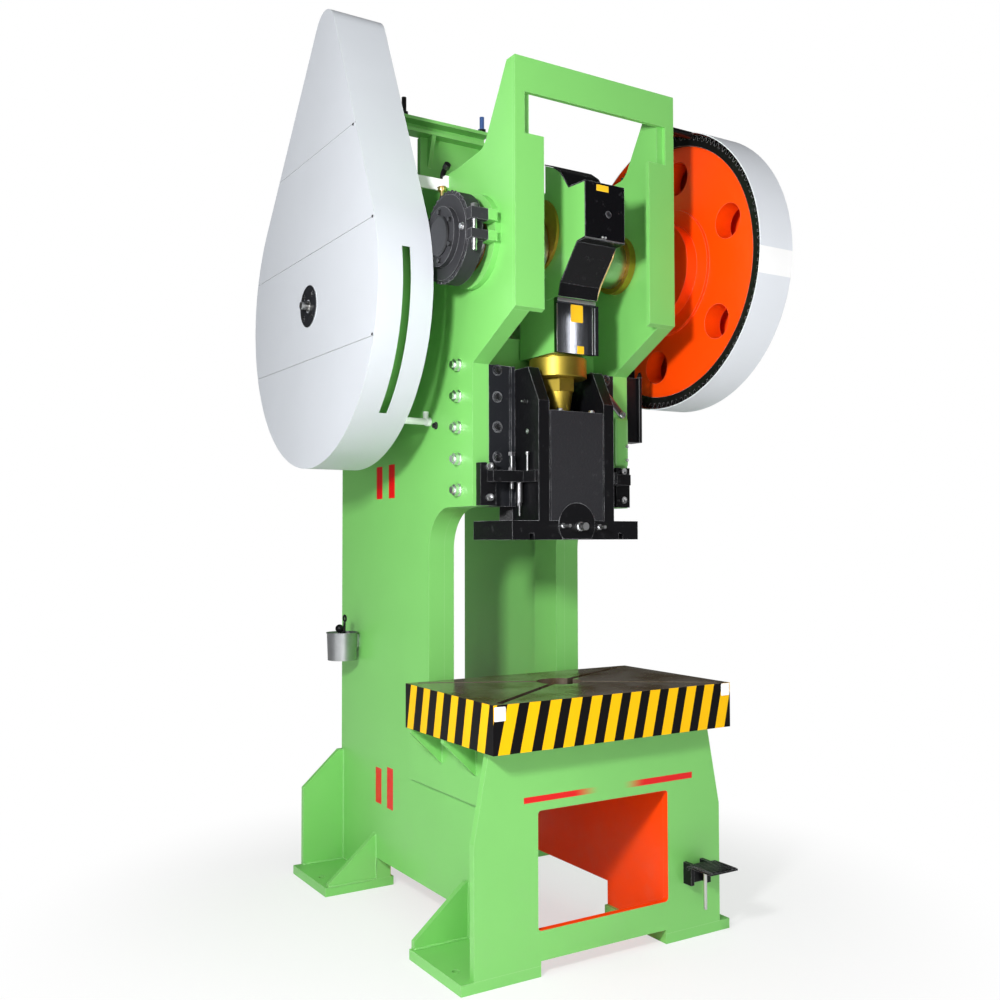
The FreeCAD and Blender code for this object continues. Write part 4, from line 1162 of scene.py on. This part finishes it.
@dataclass(frozen=True)
class SlideTrim:
    """The oil fitting and the sunk plug on the slide's left side, and its top bolts."""

    left: float = -0.1570
    row: float = -0.427
    fitting_z: float = 1.829
    fitting: Profile = ((0.0084, -0.0010, 0), (0.0084, 0.0030, 0), (0.0078, 0.0040, 1),
                        (0.0078, 0.0110, 1), (0.0045, 0.0120, 0), (0.0045, 0.0165, 0),
                        (POLE, 0.0170, 0))
    tip: Profile = ((0.0032, 0.0, 0), (0.0032, 0.0080, 0), (POLE, 0.0085, 0))
    plug_z: float = 1.728
    plug: Profile = ((0.0084, -0.0010, 0), (0.0084, 0.0012, 0), (0.0072, 0.0018, 0),
                     (0.0044, 0.0018, 0), (0.0038, 0.0014, 1), (0.0036, 0.0002, 1),
                     (POLE, 0.0001, 0))
    top_bolt: HexBolt = HexBolt(0.0095, 0.0075, 0.0120)
    top_places: tuple[Point, ...] = ((-0.060, -0.482, 1.7972), (0.072, -0.482, 1.7972))

    def build(self, palette: Palette) -> None:
        """Makes the slide's small parts; the plug stays under the 3 mm to the arm's tip.

        Args:
            palette: the finishes.
        """
        parts = Surface("slide_oil_fittings", palette.dark_steel, palette.zinc)
        parts.lathe(self.fitting, (self.left, self.row, self.fitting_z), LEFT)
        parts.lathe(self.tip, (self.left - 0.0160, self.row, self.fitting_z), LEFT, 24, 1)
        parts.lathe(self.plug, (self.left, self.row, self.plug_z), LEFT, finish=1)
        parts.build(Body.SLIDE, Slot.STEEL)
        top = Surface("slide_top_bolts", palette.zinc)
        for place in self.top_places:
            self.top_bolt.add(top, place, UP)
        top.build(Body.SLIDE, Slot.STEEL)


@dataclass(frozen=True)
class RightHeadTrim:
    """The light diagonal stay and the green cover plate beside the right guide."""

    start: Point = (0.165, -0.366, 1.950)
    stop: Point = (0.303, -0.362, 1.817)
    stay_back: float = -0.3562
    stay_wide: float = 0.026
    stay_thick: float = 0.0060
    stay_face: float = -0.3620
    stay_screw: CapScrew = CapScrew(0.0080, 0.0070, 0.0040, 0.0035)
    stay_bolt: HexBolt = HexBolt(0.0100, 0.0080, 0.0125)
    cover: Strip = Strip((0.297, -0.3548, 1.7155), (0.058, 0.177), 0.0130, 18.0)
    cover_screw: CapScrew = CapScrew(0.0060, 0.0050, 0.0030, 0.0025)
    cover_places: tuple[Point, ...] = ((0.316, -0.3678, 1.700), (0.316, -0.3678, 1.650))

    def build(self, palette: Palette) -> None:
        """Makes the stay with its two screws, and the plate.

        Args:
            palette: the finishes.
        """
        a, b = np.array(self.start), np.array(self.stop)
        along = b - a
        centre = (a + b) / 2
        stay = Surface("diagonal_stay", palette.rods, palette.zinc)
        length = float(np.linalg.norm(along)) + self.stay_wide
        stay.slab((centre[0], self.stay_back, centre[2]), tuple(along), FRONT,
                  (length, self.stay_wide), self.stay_thick)
        self.stay_screw.add(stay, (a[0], self.stay_face, a[2]), FRONT, 1)
        self.stay_bolt.add(stay, (b[0], self.stay_face, b[2]), FRONT, 1)
        stay.build(Body.FRAME, Slot.STEEL)
        cover = Surface("right_cover_plate", palette.green, palette.zinc)
        self.cover.add(cover)
        for place in self.cover_places:
            self.cover_screw.add(cover, place, FRONT, 1)
        cover.build(Body.FRAME, Slot.GREEN)


@dataclass(frozen=True)
class Labels:
    """The blank white stickers on the bolster's front corners."""

    stickers: tuple[Strip, ...] = (
        Strip((-0.4520, -0.7262, 0.8415), (0.040, 0.043), 0.0004),
        Strip((0.4530, -0.7262, 0.8470), (0.038, 0.041), 0.0004))

    def build(self, palette: Palette) -> None:
        """Makes the two stickers.

        Args:
            palette: the finishes.
        """
        labels = Surface("bolster_labels", palette.paper)
        for sticker in self.stickers:
            sticker.add(labels)
        labels.build(Body.FRAME, Slot.WHITE)


@dataclass(frozen=True)
class Welds:
    """Beads where the feet's gussets, the brackets and the feet's pads meet the plates."""

    side: float = 0.329
    pad_top: float = 0.036
    gussets: tuple[Point, ...] = ((-0.304, 0.218, 0.532), (-0.324, 0.218, 0.532),
                                  (0.402, 0.212, 0.529), (0.422, 0.212, 0.529),
                                  (0.723, 0.487, 0.506))
    bracket_x: float = 0.349
    brackets: tuple[float, ...] = (-0.410, -0.390, -0.177, -0.157)
    bracket_low: float = 0.588
    bracket_high: float = 0.716
    pads: tuple[tuple[float, float], ...] = ((-0.620, -0.304), (0.422, 0.723))
    large: WeldBead = WeldBead(0.0042)
    small: WeldBead = WeldBead(0.0034)

    def build(self, palette: Palette) -> None:
        """Makes the beads, painted over with the frame; a gusset has its y, its top and
        how far out it reaches.

        Args:
            palette: the finishes.
        """
        beads = Surface("weld_beads", palette.green)
        foot = self.pad_top
        seed = 0
        for sign in (-1.0, 1.0):
            x = sign * self.side
            for y, top, reach in self.gussets:
                seed += 1
                self.large.add(beads, (x, y, foot), (x, y, top), seed)
                self.large.add(beads, (x, y, foot), (sign * reach, y, foot), seed + 50)
            for y in self.brackets:
                seed += 1
                edge = sign * self.bracket_x
                self.small.add(beads, (edge, y, self.bracket_low),
                               (edge, y, self.bracket_high), seed)
            for low, high in self.pads:
                self.large.add(beads, (x, low, foot), (x, high, foot), seed + 90)
        beads.build(Body.FRAME, Slot.GREEN)


@dataclass(frozen=True)
class PedalTread:
    """Raised bars across the pedal's pad."""

    low: Point = (0.322, -0.792, 0.2632)
    high: Point = (0.430, -0.690, 0.2632)
    bars: int = 9
    bar_wide: float = 0.0055
    bar_high: float = 0.0022
    sunk: float = 0.0004

    def build(self, palette: Palette) -> None:
        """Makes the tread.

        Args:
            palette: the finishes.
        """
        tread = Surface("pedal_tread", palette.black)
        for k in range(self.bars):
            y = self.low[1] + (self.high[1] - self.low[1]) * (k + 0.5) / self.bars
            x = (self.low[0] + self.high[0]) / 2
            tread.slab((x, y, self.low[2] - self.sunk), RIGHT, UP,
                       (self.high[0] - self.low[0], self.bar_wide), self.bar_high, 0, 8.0)
        tread.build(Body.PEDAL, Slot.BLACK)


# ------------------------------------------------------------------ dressing


NODE_FINISH: dict[str, str] = {
    "side_plate_left": "side", "side_plate_right": "side", "side_doublers": "green",
    "crown_front_frame": "green", "base_front_plate": "base", "bed_plate": "orange",
    "rear_plates": "green", "head_guide_plate": "green", "crown_panel": "green",
    "foot_pads": "green", "foot_gussets": "green", "bolster_brackets": "green",
    "motor_beam": "green", "tension_studs": "studs", "bolster": "table",
    "gib_left": "plate", "gib_right": "plate", "head_cap_screws": "dark_steel",
    "gib_studs": "zinc", "knockout_brackets": "black", "knockout_stops": "rods",
    "oiler": "black", "main_bosses": "green", "main_bushes": "bronze",
    "back_housings": "green", "crankshaft": "steel", "eccentric_bush": "bronze",
    "conrod": "green", "hood_covers": "sheet", "lower_cover": "mirror",
    "grease_line": "brass", "lock_nut": "gold", "ball_screw": "gold",
    "slide_body": "casting", "slide_panel": "front", "shank_clamp": "casting",
    "clamp_screws": "zinc", "ball_retainer": "steel", "gear_rim": "teeth",
    "gear_web": "orange", "pinion": "iron", "crank_end_plates": "dark_steel",
    "back_shaft": "steel", "flywheel": "green", "flywheel_bearings": "steel",
    "clutch_drum": "iron", "air_union": "steel", "brake_drum": "dusty",
    "brake_band": "dusty", "brake_bolt": "zinc", "brake_anchors": "green",
    "belt_guard_band": "grey", "guard_panels": "grey", "gear_guard": "guard_inside",
    "guard_bars": "white", "tool_pot": "oilcan", "pot_tools": "black",
    "pedal_bracket": "black", "pedal_pad": "black", "pedal_rod": "steel",
}


def dress_nodes(palette: Palette) -> None:
    """Gives every CAD node its finish.

    Args:
        palette: the finishes.
    """
    for name, finish in NODE_FINISH.items():
        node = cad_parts[name]
        node.data.materials.clear()
        node.data.materials.append(getattr(palette, finish))


# ------------------------------------------------------------------ studio


@dataclass(frozen=True)
class Lamp:
    """One area lamp; tall is its height where it isn't square."""

    name: str
    place: Point
    target: Point
    size: float
    watts: float
    tall: float = 0.0

    def build(self) -> None:
        """Makes the lamp, facing its target."""
        data = bpy.data.lights.new(self.name, "AREA")
        data.size = self.size
        if self.tall:
            data.shape = "RECTANGLE"
            data.size_y = self.tall
        data.energy = self.watts
        lamp = bpy.data.objects.new(self.name, data)
        lamp.location = self.place
        lamp.rotation_euler = (Vector(self.target) - Vector(self.place)).to_track_quat(
            "-Z", "Y").to_euler()
        bpy.context.scene.collection.objects.link(lamp)


@dataclass
class Studio:
    """Floor, lamps, sky and the camera at the photograph's viewpoint."""

    position: Point = (-2.1296, -3.4546, 1.3670)
    yaw: float = math.radians(31.613)
    pitch: float = math.radians(2.026)
    roll: float = -0.0021661
    lens: float = 38.45
    sensor: float = 36.0
    view_end: float = 100.0
    floor_radius: float = 30.0
    floor_corners: int = 64
    floor_grey: float = 0.90
    floor_glow: float = 0.62
    shadow_end: float = 0.9
    white_start: float = 1.9
    room_light: float = 0.41
    room_gloss: float = 0.05
    lamps: tuple[Lamp, ...] = field(default_factory=lambda: (
        Lamp("key", (-2.64, -2.26, 2.35), (0.0, -0.2, 1.7), 0.4, 119.0),
        Lamp("low_front", (-1.7, -4.6, 0.9), (0.0, -0.2, 0.8), 1.2, 42.0),
        Lamp("left_fill", (-4.6, -1.2, 1.2), (-0.3, 0.2, 1.0), 1.6, 20.0),
        Lamp("right_back", (4.6, -1.2, 3.2), (0.5, -0.2, 2.2), 1.6, 60.0),
        Lamp("strip", (1.80, -3.04, 2.62), (0.0, -0.5, 2.07), 0.030, 0.26, 0.3)))

    def camera(self) -> None:
        """Places the camera from its yaw, pitch and roll."""
        data = bpy.data.cameras.new("camera")
        data.lens = self.lens
        data.sensor_width = self.sensor
        data.clip_end = self.view_end
        cam = bpy.data.objects.new("camera", data)
        forward = Vector((math.sin(self.yaw) * math.cos(self.pitch),
                          math.cos(self.yaw) * math.cos(self.pitch), math.sin(self.pitch)))
        right = Vector((math.cos(self.yaw), -math.sin(self.yaw), 0.0))
        up = right.cross(forward)
        turned_right = math.cos(self.roll) * right + math.sin(self.roll) * up
        turned_up = -math.sin(self.roll) * right + math.cos(self.roll) * up
        matrix = Matrix((turned_right, turned_up, -forward)).transposed().to_4x4()
        matrix.translation = Vector(self.position)
        cam.matrix_world = matrix
        bpy.context.scene.collection.objects.link(cam)
        bpy.context.scene.camera = cam

    def floor(self) -> None:
        """A pale floor disc: shadow near the press, plain white to the camera far out."""
        n = Nodes("floor")
        grey = (self.floor_grey, self.floor_grey, self.floor_grey)
        n.link(grey, n.shader.inputs["Base Color"])
        n.shader.inputs["Roughness"].default_value = 0.9
        n.shader.inputs["Specular IOR Level"].default_value = 0.0
        glow = n.tree.nodes.new("ShaderNodeEmission")
        glow.inputs["Color"].default_value = (1.0, 1.0, 1.0, 1.0)
        path = n.tree.nodes.new("ShaderNodeLightPath")
        length = n.tree.nodes.new("ShaderNodeVectorMath")
        length.operation = "LENGTH"
        n.tree.links.new(n.position, length.inputs[0])
        far = n.ramp(length.outputs["Value"], self.shadow_end, self.white_start)
        share = n.math("ADD", self.floor_glow, n.math("MULTIPLY", far, 1.0 - self.floor_glow))
        blend = n.tree.nodes.new("ShaderNodeMixShader")
        n.link(n.math("MULTIPLY", share, path.outputs["Is Camera Ray"]), blend.inputs[0])
        n.tree.links.new(n.shader.outputs[0], blend.inputs[1])
        n.tree.links.new(glow.outputs[0], blend.inputs[2])
        n.tree.links.new(blend.outputs[0], n.out.inputs[0])
        mesh = bpy.data.meshes.new("floor")
        count, radius = self.floor_corners, self.floor_radius
        angles = np.linspace(0.0, 2 * np.pi, count, endpoint=False)
        rim = np.stack([radius * np.cos(angles), radius * np.sin(angles), np.zeros(count)], axis=1)
        mesh.from_pydata(rim.tolist(), [], [list(range(count))])
        mesh.materials.append(n.material)
        floor = bpy.data.objects.new("floor", mesh)
        bpy.context.scene.collection.objects.link(floor)

    def sky(self) -> None:
        """Even grey light; the camera and glass see white, gloss sees a darker room."""
        world = bpy.data.worlds.new("studio")
        world.use_nodes = True
        tree = world.node_tree
        back = tree.nodes["Background"]
        path = tree.nodes.new("ShaderNodeLightPath")
        seen = tree.nodes.new("ShaderNodeMath")
        seen.operation = "MAXIMUM"
        tree.links.new(path.outputs["Is Camera Ray"], seen.inputs[0])
        tree.links.new(path.outputs["Is Transmission Ray"], seen.inputs[1])
        room = tree.nodes.new("ShaderNodeMapRange")
        room.inputs["To Min"].default_value = self.room_light
        room.inputs["To Max"].default_value = self.room_gloss
        tree.links.new(path.outputs["Is Glossy Ray"], room.inputs["Value"])
        strength = tree.nodes.new("ShaderNodeMapRange")
        strength.inputs["To Max"].default_value = 1.0
        tree.links.new(room.outputs[0], strength.inputs["To Min"])
        tree.links.new(seen.outputs[0], strength.inputs["Value"])
        tree.links.new(strength.outputs[0], back.inputs["Strength"])
        back.inputs["Color"].default_value = (1.0, 1.0, 1.0, 1.0)
        bpy.context.scene.world = world

    def build(self) -> None:
        """Sets up everything that isn't the press."""
        bpy.context.scene.view_settings.view_transform = "Standard"
        self.camera()
        self.sky()
        self.floor()
        for lamp in self.lamps:
            lamp.build()


def main() -> None:
    """Builds the press's looks and the studio."""
    logging.basicConfig(level=logging.INFO, format="%(name)s: %(message)s")
    palette = Palette()
    dress_nodes(palette)
    for assembly in (HeadScrews(), BeltGuardTrim(), HoodTrim(), BrakeTrim(), AirLine(),
                     SlideTrim(), RightHeadTrim(), Labels(), Welds(), PedalTread()):
        assembly.build(palette)
    Studio().build()


if __name__ == "__main__":
    main()
